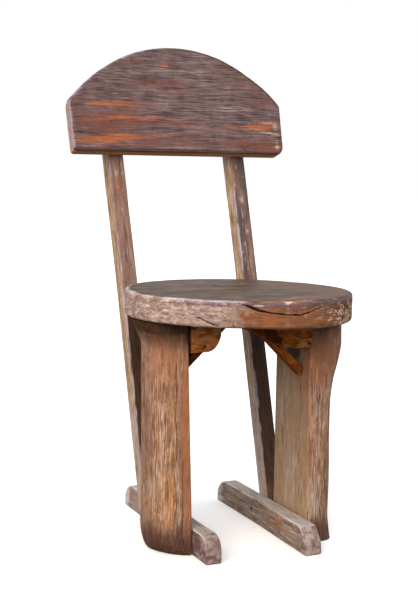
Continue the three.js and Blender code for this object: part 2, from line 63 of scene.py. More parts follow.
BLOCK_DEPTH, BLOCK_TO_BRACE = 28.0, 31.0  # the second is from a block's front to its brace's front
# Where the seat's centre on the floor lies in the frame
SHIFT = np.array([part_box("right_runner")[1][0] - RUNNER_OUTER * MM,
                  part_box("seat_slab")[0][1] + SEAT_RADIUS * MM, 0.0])
RANDOM = np.random.default_rng(41).uniform(-1.0, 1.0, 65536)  # for noise, the same in every run


# ---- working with points ----

def held(value):
    """Held between 0 and 1."""
    return np.clip(value, 0.0, 1.0)


def step(value, low, high):
    """Goes smoothly from 0 at low to 1 at high: t squared times (3 - 2 t)."""
    t = held((value - low) / (high - low))
    return t * t * (3.0 - 2.0 * t)


def hump(distance, spread):
    """Cosine squared: 1 at distance 0, and 0 from the spread on."""
    return np.cos(np.pi / 2 * np.minimum(np.abs(distance) / spread, 1.0)) ** 2


def noise(points, size, seed=0, octaves=1):
    """Random values between -1 and 1 on a lattice of cells of the given size in mm, blended smoothly
    between the corners. Each further octave has half the cell size and half the strength."""
    total = np.zeros(points.shape[:-1])
    strength = 0.0
    for octave in range(octaves):
        q = points / (np.asarray(size, float) * 0.5 ** octave)
        cell = np.floor(q).astype(np.int64)
        f = q - cell
        f = f * f * (3.0 - 2.0 * f)
        part = np.zeros_like(total)
        for corner in np.ndindex(2, 2, 2):
            c = cell + np.array(corner)
            key = (c[..., 0] * 73856093) ^ (c[..., 1] * 19349663) ^ (c[..., 2] * 83492791)
            weight = np.prod(np.where(np.array(corner) == 1, f, 1.0 - f), axis=-1)
            part += weight * RANDOM[(key + (seed + 17 * octave) * 7919) & 0xFFFF]
        total += part * 0.5 ** octave
        strength += 0.5 ** octave
    return total / strength


def denser_ends(count, share=0.6):
    """Values from 0 to 1, closer together at both ends: t - share * sin(2 pi t) / (2 pi)."""
    t = np.linspace(0.0, 1.0, count)
    return t - share * np.sin(2.0 * np.pi * t) / (2.0 * np.pi)


def spot(u, v, place, reach):
    """A soft elongated spot: e to the minus of (du / reach u) squared plus (dv / reach v) squared."""
    return np.exp(-((u - place[0]) / reach[0]) ** 2 - ((v - place[1]) / reach[1]) ** 2)


def band(value, middle, reach):
    """A soft band on both sides of the middle: e to the minus of 2 (distance / reach) squared."""
    return spot(value, value, (middle, middle), (reach, reach))


def spots(u, v, marks):
    """The strongest of several spots at each point. A mark is (u, v, reach u, reach v, strength)."""
    total = np.zeros_like(u)
    for mark in marks:
        total = np.maximum(total, mark[4] * spot(u, v, mark[:2], mark[2:4]))
    return total


def run_along(line):
    """How far along a bent line each of its points lies."""
    return np.concatenate([[0.0], np.cumsum(np.hypot(*np.diff(line, axis=0).T))])


def crack(u, v, line, width):
    """Depth share of a crack along a bent line: 1 in its middle, 0 beyond its width, closing towards
    both ends. width is the half width in mm, or one value for each point of the line."""
    line = np.asarray(line, float)
    run = run_along(line)
    nearest = np.full(u.shape, 1e9)
    along = np.zeros(u.shape)
    for start, end, begun, length in zip(line[:-1], line[1:], run, np.diff(run)):
        du, dv = (end - start) / length
        t = np.clip((u - start[0]) * du + (v - start[1]) * dv, 0.0, length)
        gap = np.hypot(u - start[0] - t * du, v - start[1] - t * dv)
        along = np.where(gap < nearest, (begun + t) / run[-1], along)
        nearest = np.minimum(nearest, gap)
    widths = np.interp(along, np.linspace(0.0, 1.0, np.size(width)), np.atleast_1d(width))
    closing = np.sqrt(held(np.minimum(along, 1.0 - along) * 12.0)) * 0.75 + 0.25
    return held(1.0 - (nearest / (widths * closing)) ** 2)


def cracks(u, v, lines):
    """The deepest of several cracks at each point. Each is (line, width)."""
    return np.maximum.reduce([crack(u, v, line, width) for line, width in lines])


def volume(rings):
    """Signed volume of a closed skin of rings, as a sum of tetrahedra from the rings' mean point."""
    p = rings - rings.mean(axis=(0, 1))
    a, b = p[:-1], p[1:]
    c, d = np.roll(a, -1, axis=1), np.roll(b, -1, axis=1)
    return (np.einsum("mnk,mnk", a, np.cross(c, d)) + np.einsum("mnk,mnk", a, np.cross(d, b))) / 6.0


def normals(rings):
    """Outward unit normals of a grid of rings: the cross product of the steps round and along it,
    turned over where the rings run the other way round."""
    around = np.roll(rings, -1, axis=1) - np.roll(rings, 1, axis=1)
    n = np.cross(around, np.gradient(rings, axis=0)) * np.sign(volume(rings))
    return n / np.maximum(np.linalg.norm(n, axis=-1, keepdims=True), 1e-9)


def carve(rings, depth):
    """Moves each point inwards, square to the surface, by depth in mm."""
    return rings - normals(rings) * depth[..., None]


def with_caps(rings, steps):
    """Adds flat ends: copies of the end rings that shrink evenly to 2 % about their middle."""
    share = np.linspace(0.02, 1.0, steps, endpoint=False)[:, None, None]
    first, last = rings[:1].mean(axis=1, keepdims=True), rings[-1:].mean(axis=1, keepdims=True)
    return np.concatenate([first + (rings[:1] - first) * share, rings,
                           last + (rings[-1:] - last) * share[::-1]])


def placed(name, data):
    """A new object with the data, put into the scene."""
    made = bpy.data.objects.new(name, data)
    bpy.context.collection.objects.link(made)
    return made


def skin(name, rings, node, marks, slot_name, material=None):
    """Puts a closed skin in: quads between neighbouring rings and a fan to a pole at each end. marks
    are values for each point that the material reads, and node is the CAD node it stands for."""
    m, n = rings.shape[:2]
    i, j = np.meshgrid(np.arange(m - 1), np.arange(n), indexing="ij")
    k = (j + 1) % n
    quads = np.stack([i * n + j, i * n + k, (i + 1) * n + k, (i + 1) * n + j], axis=-1).reshape(-1, 4)
    j, k = j[0], k[0]
    first = np.stack([np.full(n, m * n), k, j], axis=-1)
    last = np.stack([np.full(n, m * n + 1), (m - 1) * n + j, (m - 1) * n + k], axis=-1)
    points = np.concatenate([rings.reshape(-1, 3), [rings[0].mean(axis=0), rings[-1].mean(axis=0)]])
    fans = np.concatenate([first, last])
    if volume(rings) < 0.0:
        quads, fans = quads[:, ::-1], fans[:, ::-1]
    mesh = bpy.data.meshes.new(name)
    mesh.from_pydata((points * MM + SHIFT).tolist(), [], quads.tolist() + fans.tolist())
    mesh.validate()
    mesh.shade_smooth()
    for title, values in marks.items():
        ends = [values[0].mean(), values[-1].mean()]
        layer = mesh.attributes.new(title, "FLOAT", "POINT")
        layer.data.foreach_set("value", np.concatenate([values.ravel(), ends]).astype(np.float32))
    mesh.materials.append(material or SLOT_WOOD[slot_name])
    piece = placed(name, mesh)
    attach(piece, "root")
    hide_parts(node)


def section(half_wide, half_high, radius, wide_count, high_count):
    """Rings of a rectangle with round corners: a point p of the rectangle's edge goes to q + radius *
    (p - q) / |p - q|, where q is p held inside the rectangle that is smaller by the radius. The
    half sizes and the radius have one value for each ring. Starts at a lower corner."""
    s, t = 2.0 * denser_ends(wide_count)[:-1] - 1.0, 2.0 * denser_ends(high_count)[:-1] - 1.0
    a = np.concatenate([s, np.ones_like(t), -s, -np.ones_like(t)])
    b = np.concatenate([-np.ones_like(s), t, np.ones_like(s), -t])
    p = np.stack([half_wide[:, None] * a, half_high[:, None] * b], axis=-1)
    inner = (np.stack([half_wide, half_high], axis=-1) - radius[:, None])[:, None]
    q = np.clip(p, -inner, inner)
    d = p - q
    return q + radius[:, None, None] * d / np.maximum(np.linalg.norm(d, axis=-1, keepdims=True), 1e-9)


def plank(lower, upper, depth, radius, end_radius, counts, caps=10):
    """Rings of a piece sawn from a board. lower and upper are its two edge lines in the board's
    plane, and each pair of their points carries one rounded rectangle, as high as the pair is apart
    and as wide as the board is thick. Near both ends it shrinks as a quarter circle of end_radius."""
    lower, upper = np.asarray(lower, float), np.asarray(upper, float)
    middle = (lower + upper) / 2.0
    run = run_along(middle)
    near = np.minimum(np.minimum(run, run[-1] - run), end_radius)
    inset = end_radius - np.sqrt(np.maximum(end_radius ** 2 - (end_radius - near) ** 2, 0.0))
    half = np.hypot(*(upper - lower).T) / 2.0
    flat = section(np.full(len(half), depth / 2.0) - inset, half - inset,
                   np.minimum(radius, half - inset - 0.5), *counts)
    flat = with_caps(np.concatenate([flat, np.zeros(flat.shape[:2] + (1,))], axis=-1), caps)[..., :2]
    pad = ((caps, caps), (0, 0))
    middle = np.pad(middle, pad, mode="edge")[:, None]
    way = np.pad((upper - lower) / (2.0 * half[:, None]), pad, mode="edge")[:, None]
    return flat[..., 0], middle + flat[..., 1:] * way


def bezier(start, control, end, count):
    """A curve pulled towards one control point: (1-t)^2 start + 2 t (1-t) control + t^2 end."""
    t = np.linspace(0.0, 1.0, count)[:, None]
    return (1 - t) ** 2 * np.array(start) + 2 * t * (1 - t) * np.array(control) + t ** 2 * np.array(end)


def resample(line, t):
    """Points of a bent line at the shares t of its length."""
    line = np.asarray(line, float)
    run = run_along(line)
    return np.stack([np.interp(t * run[-1], run, line[:, k]) for k in (0, 1)], axis=-1)


# ---- materials ----

def rgb(text):
    """Linear colour from an sRGB hex code."""
    c = np.array([int(text[i:i + 2], 16) for i in (1, 3, 5)]) / 255.0
    return tuple(np.where(c <= 0.04045, c / 12.92, ((c + 0.055) / 1.055) ** 2.4)) + (1.0,)


def add(tree, kind, inputs=None, out=0, **settings):
    """Adds a node with its settings, and for each input either a value or the socket it comes from.
    Gives back the node's output socket."""
    made = tree.nodes.new("ShaderNode" + kind)
    for key, value in settings.items():
        setattr(made, key, value)
    for key, value in (inputs or {}).items():
        if isinstance(value, bpy.types.NodeSocket):
            tree.links.new(value, made.inputs[key])
        else:
            made.inputs[key].default_value = value
    return made.outputs[out]


def new_material(title):
    """A new material with its node tree and its shader."""
    made = bpy.data.materials.new(title)
    made.use_nodes = True
    return made, made.node_tree, made.node_tree.nodes["Principled BSDF"]


def wood(title, tones, grain, turn=(0, 0, 0), *, rough, relief, contrast, lines, gloss, layers, pits=0.4,
         thread=("#cdbcae", 0.0)):
    """Wood whose fibres run along one axis of the turned coordinates. tones are four colours from
    darkest to lightest, with light threads over them, and grain is the size in mm of a bundle of
    fibres along x, y and z, drawn coarser than real ones so that it shows from a step away. layers
    are stains, wear and dirt, and painted light and shade: (mark, colour, roughness, raggedness).
    Dark lines and pits come last."""
    made, tree, shader = new_material(title)
    grain = np.array(grain, float)
    across = 1 - grain / grain.max()
    place = add(tree, "TexCoord", out="Object")
    turned = add(tree, "Mapping", {"Vector": place, "Rotation": turn}, vector_type="TEXTURE")

    def texture(size, detail, warp=0.0):
        """Noise with cells of the given size in mm along x, y and z."""
        scaled = add(tree, "Mapping", {"Vector": turned, "Scale": list(1000.0 / np.asarray(size))})
        return add(tree, "TexNoise", {"Vector": scaled, "Scale": 1.0, "Detail": detail,
                                      "Roughness": 0.7, "Distortion": warp})

    def sum_of(*terms):
        """Adds up sockets times weights."""
        total = 0.0
        for socket, weight in terms:
            total = add(tree, "Math", {0: socket, 1: weight, 2: total}, operation="MULTIPLY_ADD")
        return total

    fibre = texture(grain, 4.0)
    bundle = texture(grain * (1.8 + 2.4 * across), 3.0, 0.7)
    cloud = texture((26.0, 26.0, 26.0), 5.0, 0.5)
    tone = sum_of((fibre, 0.55), (bundle, 0.22), (cloud, 0.23))
    colour = add(tree, "ValToRGB", {0: tone})
    stops = colour.node.color_ramp.elements
    while len(stops) < len(tones):
        stops.new(0.5)
    for stop, share, tint in zip(stops, (0.40, 0.47, 0.53, 0.60), tones):
        stop.position, stop.color = share, rgb(tint)
    bloom = add(tree, "MapRange", {0: fibre, 1: 0.56, 2: 0.7, 3: 0.0, 4: thread[1]})
    colour = add(tree, "Mix", {0: bloom, 6: colour, 7: rgb(thread[0])}, 2, data_type="RGBA")
    roughness = add(tree, "MapRange", {0: tone, 1: 0.4, 2: 0.6, 3: rough[0], 4: rough[1]})
    torn = sum_of((fibre, 0.6), (bundle, 0.4))
    for mark, tint, layer_rough, ragged in layers:
        value = add(tree, "Attribute", out="Fac", attribute_name=mark)
        frayed = add(tree, "Math", {0: torn, 1: 0.5}, operation="SUBTRACT")
        frayed = add(tree, "Math", {0: frayed, 1: ragged, 2: value}, operation="MULTIPLY_ADD")
        share = add(tree, "MapRange", {0: frayed, 1: 0.15, 2: 0.8, 4: 0.88},
                    interpolation_type="SMOOTHSTEP")
        gate = add(tree, "Math", {0: value, 1: 5.0}, operation="MULTIPLY", use_clamp=True)
        share = add(tree, "Math", {0: share, 1: gate}, operation="MULTIPLY")
        colour = add(tree, "Mix", {0: share, 6: colour, 7: rgb(tint)}, 2, data_type="RGBA")
        roughness = add(tree, "Mix", {0: share, 2: roughness, 3: layer_rough}, data_type="FLOAT")
    shade = add(tree, "MapRange", {0: tone, 1: 0.36, 2: 0.64, 3: 1 - contrast, 4: 1 + contrast})
    colour = add(tree, "VectorMath", {0: colour, "Scale": shade}, operation="SCALE")
    vein = add(tree, "Math", {0: texture(grain * (1.4 + 1.6 * across), 1.0), 1: 0.5, 2: 0.013},
               operation="COMPARE")
    often = add(tree, "MapRange", {0: bundle, 1: 0.42, 2: 0.5, 3: lines, 4: 0.0})
    line = add(tree, "Math", {0: vein, 1: often}, operation="MULTIPLY")
    pit = add(tree, "MapRange", {0: texture(grain ** 0.4 * 1.6, 2.0), 1: 0.62, 2: 0.7, 3: 0.0, 4: pits})
    dark = add(tree, "Math", {0: line, 1: pit}, operation="MAXIMUM")
    colour = add(tree, "Mix", {0: dark, 6: colour, 7: rgb("#160d08")}, 2, data_type="RGBA")
    raised = sum_of((torn, 1.0), (dark, -0.6))
    bump = add(tree, "Bump", {"Height": raised, "Strength": 1.0, "Distance": relief * MM})
    for key, socket in (("Base Color", colour), ("Roughness", roughness), ("Normal", bump)):
        tree.links.new(socket, shader.inputs[key])
    shader.inputs["Specular IOR Level"].default_value = gloss
    return made


def iron():
    """Dull wrought iron with rust in patches of about 2 mm."""
    made, tree, shader = new_material("rusted_wrought_iron")
    place = add(tree, "TexCoord", out="Object")
    patch = add(tree, "TexNoise", {"Vector": place, "Scale": 500.0, "Detail": 4.0})
    rust = add(tree, "MapRange", {0: patch, 1: 0.4, 2: 0.6})
    colour = add(tree, "Mix", {0: rust, 6: rgb("#453d38"), 7: rgb("#64402c")}, 2, data_type="RGBA")
    metal = add(tree, "MapRange", {0: rust, 3: 1.0, 4: 0.0})
    tree.links.new(colour, shader.inputs["Base Color"])
    tree.links.new(metal, shader.inputs["Metallic"])
    shader.inputs["Roughness"].default_value = 0.65
    return made


def bracket_wood(title, slant):
    """Brown oiled softwood, whose fibres run level or along a brace: smooth, dark and out of the rain."""
    # the second layer gives each piece a darker tone and paints shade under the seat and beside the brace
    return wood(title, ("#62300b", "#844615", "#96551c", "#a66427"), (18, 3, 3), (0, np.radians(slant), 0),
                rough=(0.55, 0.7), relief=0.3, contrast=0.24, lines=0.25, pits=0.2, gloss=0.05, layers=[
                    ("pale", "#bf7f4b", 0.6, 0.8), ("dark_tone_and_painted_shade", "#371806", 0.6, 0.8),
                    ("gap", "#140b06", 0.9, 0.2)])


SLOT_WOOD = {
    # Worn hardwood: a dark oiled top with a dull sheen, and a dry, mottled rim with bare patches.
    # A painted bluish highlight runs along the front edge of the top.
    "seat_wood": wood(
        "oiled_hardwood_seat", ("#322318", "#4b392a", "#5e4b3a", "#746150"), (70, 9.0, 3.2),
        rough=(0.5, 0.65), relief=0.5, contrast=0.42, lines=0.5, gloss=0.2, thread=("#8f7f72", 0.4), layers=[
            ("rim", "#aa9186", 0.75, 0.8), ("warm", "#844c1e", 0.65, 1.8), ("plum", "#6f5860", 0.6, 1.8),
            ("bare", "#cfb7a3", 0.85, 2.4), ("fleck", "#e9dccf", 0.85, 1.0), ("red", "#5a3c19", 0.5, 2.0),
            ("painted_highlight", "#a7a1ad", 0.35, 1.0), ("gap", "#160d08", 0.9, 0.2)]),
    # Old dark lacquer worn into level streaks: orange wood where it is gone, grey where it has faded.
    # Also painted: highlights on the left end and edges, shade on the rounded edges, light underneath.
    "board_wood": wood(
        "lacquered_dark_board", ("#4a3330", "#5e4946", "#6f5a58", "#7f6d6c"), (45, 2.2, 2.0),
        rough=(0.45, 0.6), relief=0.3, contrast=0.28, lines=0.4, gloss=0.3, thread=("#a5948f", 0.35), layers=[
            ("red", "#74402f", 0.5, 2.0), ("worn", "#a85e30", 0.55, 2.8), ("pale", "#ac998b", 0.7, 2.6),
            ("end", "#af9184", 0.7, 0.5), ("rim", "#5c3422", 0.6, 0.5), ("under", "#e2b483", 0.6, 0.5),
            ("dark", "#42241a", 0.5, 1.2), ("painted_highlight", "#958a9b", 0.35, 0.8)]),
    # Raw pale wood at the sides and a brown stain on the front, with a painted bluish highlight along
    # one front edge, and painted shade on the front below the seat.
    "post_wood": wood(
        "half_stained_post", ("#8f6f52", "#a48566", "#b6997c", "#c5af98"), (2.2, 2.2, 50), (-0.31, 0, 0),
        rough=(0.6, 0.75), relief=0.3, contrast=0.36, lines=0.4, gloss=0.2, thread=("#cfc2b6", 0.4), layers=[
            ("front", "#826357", 0.5, 0.3), ("grey", "#4f4443", 0.5, 1.6), ("orange", "#a0572c", 0.6, 2.4),
            ("pale", "#b3a297", 0.75, 2.6), ("low", "#38230d", 0.7, 1.4), ("edge", "#aca1b4", 0.4, 0.8),
            ("gap", "#1d130e", 0.9, 0.2)]),
    # A split log: long dry fibres, grey threads and golden streaks, and a dark damp foot.
    # Its darkest layer is mostly painted shade under the seat and beside the braces and blocks.
    "leg_wood": wood(
        "split_log_leg", ("#6f4d3b", "#92694c", "#aa8161", "#b8a699"), (1.5, 1.5, 30), rough=(0.55, 0.75),
        relief=0.5, contrast=0.26, lines=0.3, thread=("#c9bfbd", 0.75), gloss=0.25, layers=[
            ("inner", "#a28669", 0.7, 0.6), ("warm", "#a86f4e", 0.6, 1.4), ("grey", "#b9a99c", 0.8, 2.0),
            ("gold", "#cc8a3f", 0.6, 3.4), ("foot", "#55372e", 0.6, 0.9), ("dark_tone_and_painted_shade", "#3a1d0c", 0.6, 1.2),
            ("gap", "#26180f", 0.9, 0.2)]),
    # Dull grey weathered wood with pale edges and a darker nose.
    "runner_wood": wood(
        "weathered_runner", ("#7b6454", "#8f796a", "#9e877a", "#ae9c8e"), (2.4, 36, 2.4), rough=(0.6, 0.8),
        relief=0.5, contrast=0.26, lines=0.25, thread=("#c5b9af", 0.5), gloss=0.35, layers=[
            ("orange", "#9d6a44", 0.6, 2.6), ("top", "#aaa097", 0.8, 1.6), ("nose", "#a8918b", 0.6, 1.6),
            ("plum", "#664b47", 0.6, 2.0), ("edge", "#c9beb7", 0.7, 1.8), ("gap", "#2a1c14", 0.9, 0.2)]),
    "bracket_wood": bracket_wood("oiled_brown_bracket", 0.0),
    # Nearly black nails, rust brown in patches, that hardly shine.
    "nail_iron": iron(),
}
BRACE_WOOD = {"left": bracket_wood("oiled_brown_left_brace", -BRACE_SLANT),
              "right": bracket_wood("oiled_brown_right_brace", BRACE_SLANT)}
for part in frame["record"]["subparts"]:
    node = frame["nodes"][part["node"]]
    node.data.materials.clear()
    node.data.materials.append(SLOT_WOOD[part["material_slot"]])


# ---- seat ----

def post_front(z, foot):
    """y of a post's front face at the height z, foot mm behind the seat's centre on the floor: two
    straight lines, joined by a parabola."""
    low, high = (POST_SEAT_Y - foot) / SEAT_MIDDLE, np.tan(RAKE)
    above = z - SEAT_MIDDLE
    straight = POST_SEAT_Y + above * np.where(above > 0, high, low)
    turn = (high - low) * (above ** 2 + POST_BEND ** 2) / (4 * POST_BEND)
    return np.where(np.abs(above) >= POST_BEND, straight, POST_SEAT_Y + above * (low + high) / 2 + turn)


def post_slope(z, foot):
    """How much the post's front face goes back for each mm of height."""
    low, high = (POST_SEAT_Y - foot) / SEAT_MIDDLE, np.tan(RAKE)
    return low + (high - low) * held((z - SEAT_MIDDLE + POST_BEND) / (2 * POST_BEND))


def rim_line(*pairs):
    """A line on the rim from (degrees, height) to (mm along the rim from its front, height)."""
    return [(np.radians(degree + 90.0) * SEAT_RADIUS, height) for degree, height in pairs]


LONG_CRACK = rim_line((-116, 438.5), (-112.8, 434.3), (-109.2, 430), (-104.5, 424), (-98.4, 420.2),
                      (-90.9, 417), (-83.9, 417.1), (-78.6, 421), (-73.6, 426.4), (-70, 428))
SHORT_CRACK = rim_line((-136, 412), (-132.9, 409.9), (-129.5, 405.8), (-126.7, 401.6), (-123.5, 399))
THIN_CRACKS = [(rim_line((-30, 420), (-18, 414), (-8, 416)), 0.9),
               (rim_line((-46, 432), (-41, 420), (-44, 408)), 0.9),
               (rim_line((20, 425), (40, 417), (60, 420)), 0.9), (rim_line((75, 408), (95, 412)), 0.9)]
SCRATCHES = [(rim_line((-148.9, 428), (-147.5, 422), (-147.6, 417)), 0.9),
             (rim_line((-145, 427), (-147.2, 421)), 0.8)]


def seat():
    """The slab: rings round its axis, from the middle of the underside over the rim to the middle of
    the top. Radius and height follow a profile with two quarter circles, the rim's radius changes
    with the angle, and a lower shoulder reaches each post."""
    spokes, rim_rings, top_rings, low_round, high_round = 640, 44, 46, 5.0, 6.5
    angle = np.radians(-90.0) + np.linspace(0.0, 2 * np.pi, spokes, endpoint=False)
    q = np.linspace(0.0, np.pi / 2, 6)[1:-1]
    inset = np.concatenate([
        np.geomspace(190.0, 9.0, 14), [7.0, low_round], low_round * (1 - np.sin(q)), np.zeros(rim_rings),
        high_round * (1 - np.cos(q)), [high_round, 8.0, 9.7], np.linspace(11.5, 192.0, top_rings)])
    height = np.concatenate([
        np.full(16, SEAT_BOTTOM), SEAT_BOTTOM + low_round * (1 - np.cos(q)),
        np.linspace(SEAT_BOTTOM + low_round, SEAT_TOP - high_round, rim_rings),
        SEAT_TOP - high_round * (1 - np.sin(q)), np.full(3 + top_rings, SEAT_TOP)])
    # the rim is a little flat at the left and fuller at the front right
    rim = SEAT_RADIUS - 5.0 * hump(angle - np.radians(162.0), np.radians(28.0))
    rim += 3.0 * hump(angle - np.radians(-20.0), np.radians(65.0))
    share = (1.0 - inset / SEAT_RADIUS)[:, None]
    z = np.repeat(height[:, None], spokes, axis=1)
    middle = POST_INNER + POST_SPLAY * SEAT_MIDDLE + POST_WIDTH / 2
    reach = np.hypot(POST_SEAT_Y, middle) + 2.0 - SEAT_RADIUS
    away = np.abs(angle - np.pi / 2) - (np.pi / 2 - np.arctan2(POST_SEAT_Y, middle))
    shoulder = reach * hump(away, np.radians(20.0)) * (1 - step(z, 419, 429))
    radius = rim * share + shoulder * step(share, 0.8, 0.97)
    # the slab is thicker at its front right, and beside the leg only its outermost edge hangs lower
    turned = np.degrees(np.where(angle > np.pi, angle - 2 * np.pi, angle))
    lower = np.interp(turned, [-112, -90, -73, -49, -25, 0], [0.0, 2.4, 4.4, 4.0, 3.0, 0.0])
    begins = np.interp(turned, [-60, -48], [0.72, 0.955])
    z = z - lower * step(share, begins, 0.974) * (1 - step(z, SEAT_BOTTOM, 428.0))
    x, y = radius * np.cos(angle), radius * np.sin(angle)
    front = post_front(z, np.where(x < 0, POSTS["left"]["foot"], POSTS["right"]["foot"]))
    y = np.where(np.abs(x) > POST_INNER - 14.0, np.minimum(y, front - GAP), y)
    rings = np.stack([x, y, z], axis=-1)
    degree = np.degrees(np.arctan2(y, x))
    turn = np.where(degree > 90.0, degree - 360.0, degree)  # from -270 over the front to 90
    arc = np.radians(degree + 90.0) * SEAT_RADIUS
    edge = step(share, 0.955, 0.985)
    crisp = step(z, 434.5, 438.5) * step(degree, -100, -60) * (1 - step(degree, 60, 100))
    on_rim = edge * (1 - crisp)
    top = step(z, 437, 439.5) * (1 - edge)

    level = z + noise(rings, (9, 9, 4), 3, 2) * 1.3
    split = crack(arc, level, LONG_CRACK, (0.7, 1.7, 2.3, 1.2, 1, 1, 1, 1, 0.8, 0.4)) * on_rim
    short = crack(arc, level, SHORT_CRACK, (0.5, 0.8, 1.1, 1.0, 0.5)) * on_rim
    hairs = cracks(arc, level, THIN_CRACKS) * on_rim
    lip = crack(arc, level - 4.0, LONG_CRACK, 5.0) * on_rim * step(z, 415, 425)
    eaten = spot(degree, z, (-52, 416), (19, 14)) + 0.5 * spot(degree, z, (-25, 412), (12, 9))
    worms = step(noise(rings, (4.2, 4.2, 3.6), 8) + 0.85 * eaten, 0.85, 1.15) * on_rim
    chips = step(share, 0.95, 0.985) * spots(degree, z, [
        (-90.6, 440, 1.6, 3, 1), (-78, 441, 1.1, 2.4, 0.7), (-106, 440.5, 2, 2, 0.6),
        (-140, 441, 2.5, 2, 0.5), (-60, 441, 2.2, 2.4, 0.8), (30, 441, 2.2, 2.4, 0.8)])
    depth = 0.1 + 0.25 * (1 + noise(rings, (70, 45, 60), 1, 2))
    depth += on_rim * 0.38 * (1 + noise(rings, (16, 16, 5), 5, 3))
    depth += top * 0.12 * (1 + noise(rings, (60, 4, 9), 2, 2))
    depth += 6.0 * split + 3.2 * short + 1.2 * hairs + 1.6 * worms + 1.7 * chips
    depth += 0.5 * cracks(arc, z, SCRATCHES) + 0.7 * lip
    depth *= step(share, 0, 0.1)

    left, right = 1 - step(turn, -126, -100), step(turn, -72, -52)
    crack_z = np.interp(turn, [-113, -105, -98, -84, -78, -70], [434, 424, 420, 417, 421, 428])
    below = step(crack_z - z, -1, 2) * step(turn, -122, -104)
    mottle = [noise(rings, (6.5, 6.5, 4.5), 200 + k, 3) for k in range(4)]
    upper_edge = step(z, 428, 432) * (1 - step(z, 437, 439)) * step(turn, -155, -135)
    bare = spots(turn, z, [(-91, 439, 4, 3.6, 1), (-147, 422, 2, 6, 0.7), (-78, 440, 2.2, 2.2, 0.7),
                           (-105, 433, 4, 2.4, 0.8)])
    marks = {
        "rim": on_rim,
        "gap": held(np.maximum.reduce([split * 1.6, short * 1.5, hairs * 0.8, worms * 0.9])),
        "warm": held(on_rim * (
            below * (0.8 + 0.5 * noise(rings, (14, 14, 6), 210, 2) + 0.3 * mottle[0])
            + (1 - below) * (1 - left) * (0.85 + 1.1 * mottle[0]) + left * (0.08 + 1.0 * mottle[1])
            + 0.1 * right)),
        "plum": held(on_rim * (
            (0.75 + 0.5 * step(turn, -120, -100)) * upper_edge * (0.7 + 0.8 * mottle[2])
            + (0.1 + 0.85 * mottle[3]) * (1 - below) + 0.15 * right)),
        "bare": 0.4 * chips + held(on_rim * (
            bare + left * (0.28 + 0.6 * mottle[0]) + (1 - left) * (1 - below) * (0.7 * mottle[2] - 0.25)
            + right * (0.24 + 0.8 * mottle[1]) + 0.6 * eaten * (0.5 + mottle[1]))),
        "fleck": held(on_rim * step(noise(rings, (4, 4, 3), 221), 0.66, 0.9)
                      * (0.1 + 0.55 * left + 0.5 * right + 0.6 * eaten)),
        "red": held(top * (0.15 + 0.75 * step(x, -20, 140) + 0.5 * noise(rings, (90, 22, 9), 222, 3))),
        # painted highlight: a pale bluish line along the top's front edge, strongest on the left
        "painted_highlight": held(band(z, 439.3, 1.9) * (0.7 + 0.8 * noise(rings, (25, 25, 9), 33, 2))
                       * step(share, 0.94, 0.96) * (1 - 0.85 * step(turn, -128, -100))),
    }
    skin("hewn_seat_slab", carve(rings, depth), "seat_slab", marks, "seat_wood")


# ---- backrest board ----

# marks on the board's front: (u, v, reach u, reach v, strength)
BOARD_ORANGE = [
    (-142, 91, 52, 5, 1), (-180, 90, 30, 3.5, 0.7), (-100, 95, 32, 3.2, 0.6), (-165, 21, 55, 8.5, 1),
    (-115, 30, 50, 5, 0.75), (-195, 33, 26, 5, 0.6), (-60, 33, 60, 3, 0.5), (-15, 172, 16, 3, 0.9),
    (-62, 66, 62, 5, 0.62), (-110, 64, 40, 4, 0.55), (-150, 60, 30, 3, 0.4), (110, 53, 34, 5.5, 0.85),
    (165, 54, 48, 6.5, 1), (198, 62, 22, 6, 0.6), (60, 50, 50, 3, 0.35), (-120, 106, 60, 2.5, 0.3),
    (0, 112, 80, 3, 0.25)]
BOARD_RED = [(170, 17, 90, 11, 0.85), (-60, 140, 80, 8, 0.35), (-60, 60, 120, 14, 0.3),
             (-150, 40, 80, 26, 0.35), (140, 30, 70, 10, 0.25), (-120, 10, 80, 8, 0.35)]
BOARD_PALE = [(185, 43, 22, 2.2, 1), (202, 40, 12, 2.4, 1), (164, 49, 14, 1.8, 0.8), (40, 96, 80, 16, 0.2),
              (100, 92, 55, 18, 0.28), (150, 84, 40, 14, 0.3), (192, 66, 14, 5, 0.55), (206, 54, 6, 14, 0.8),
              (205, 20, 5, 16, 0.7)]


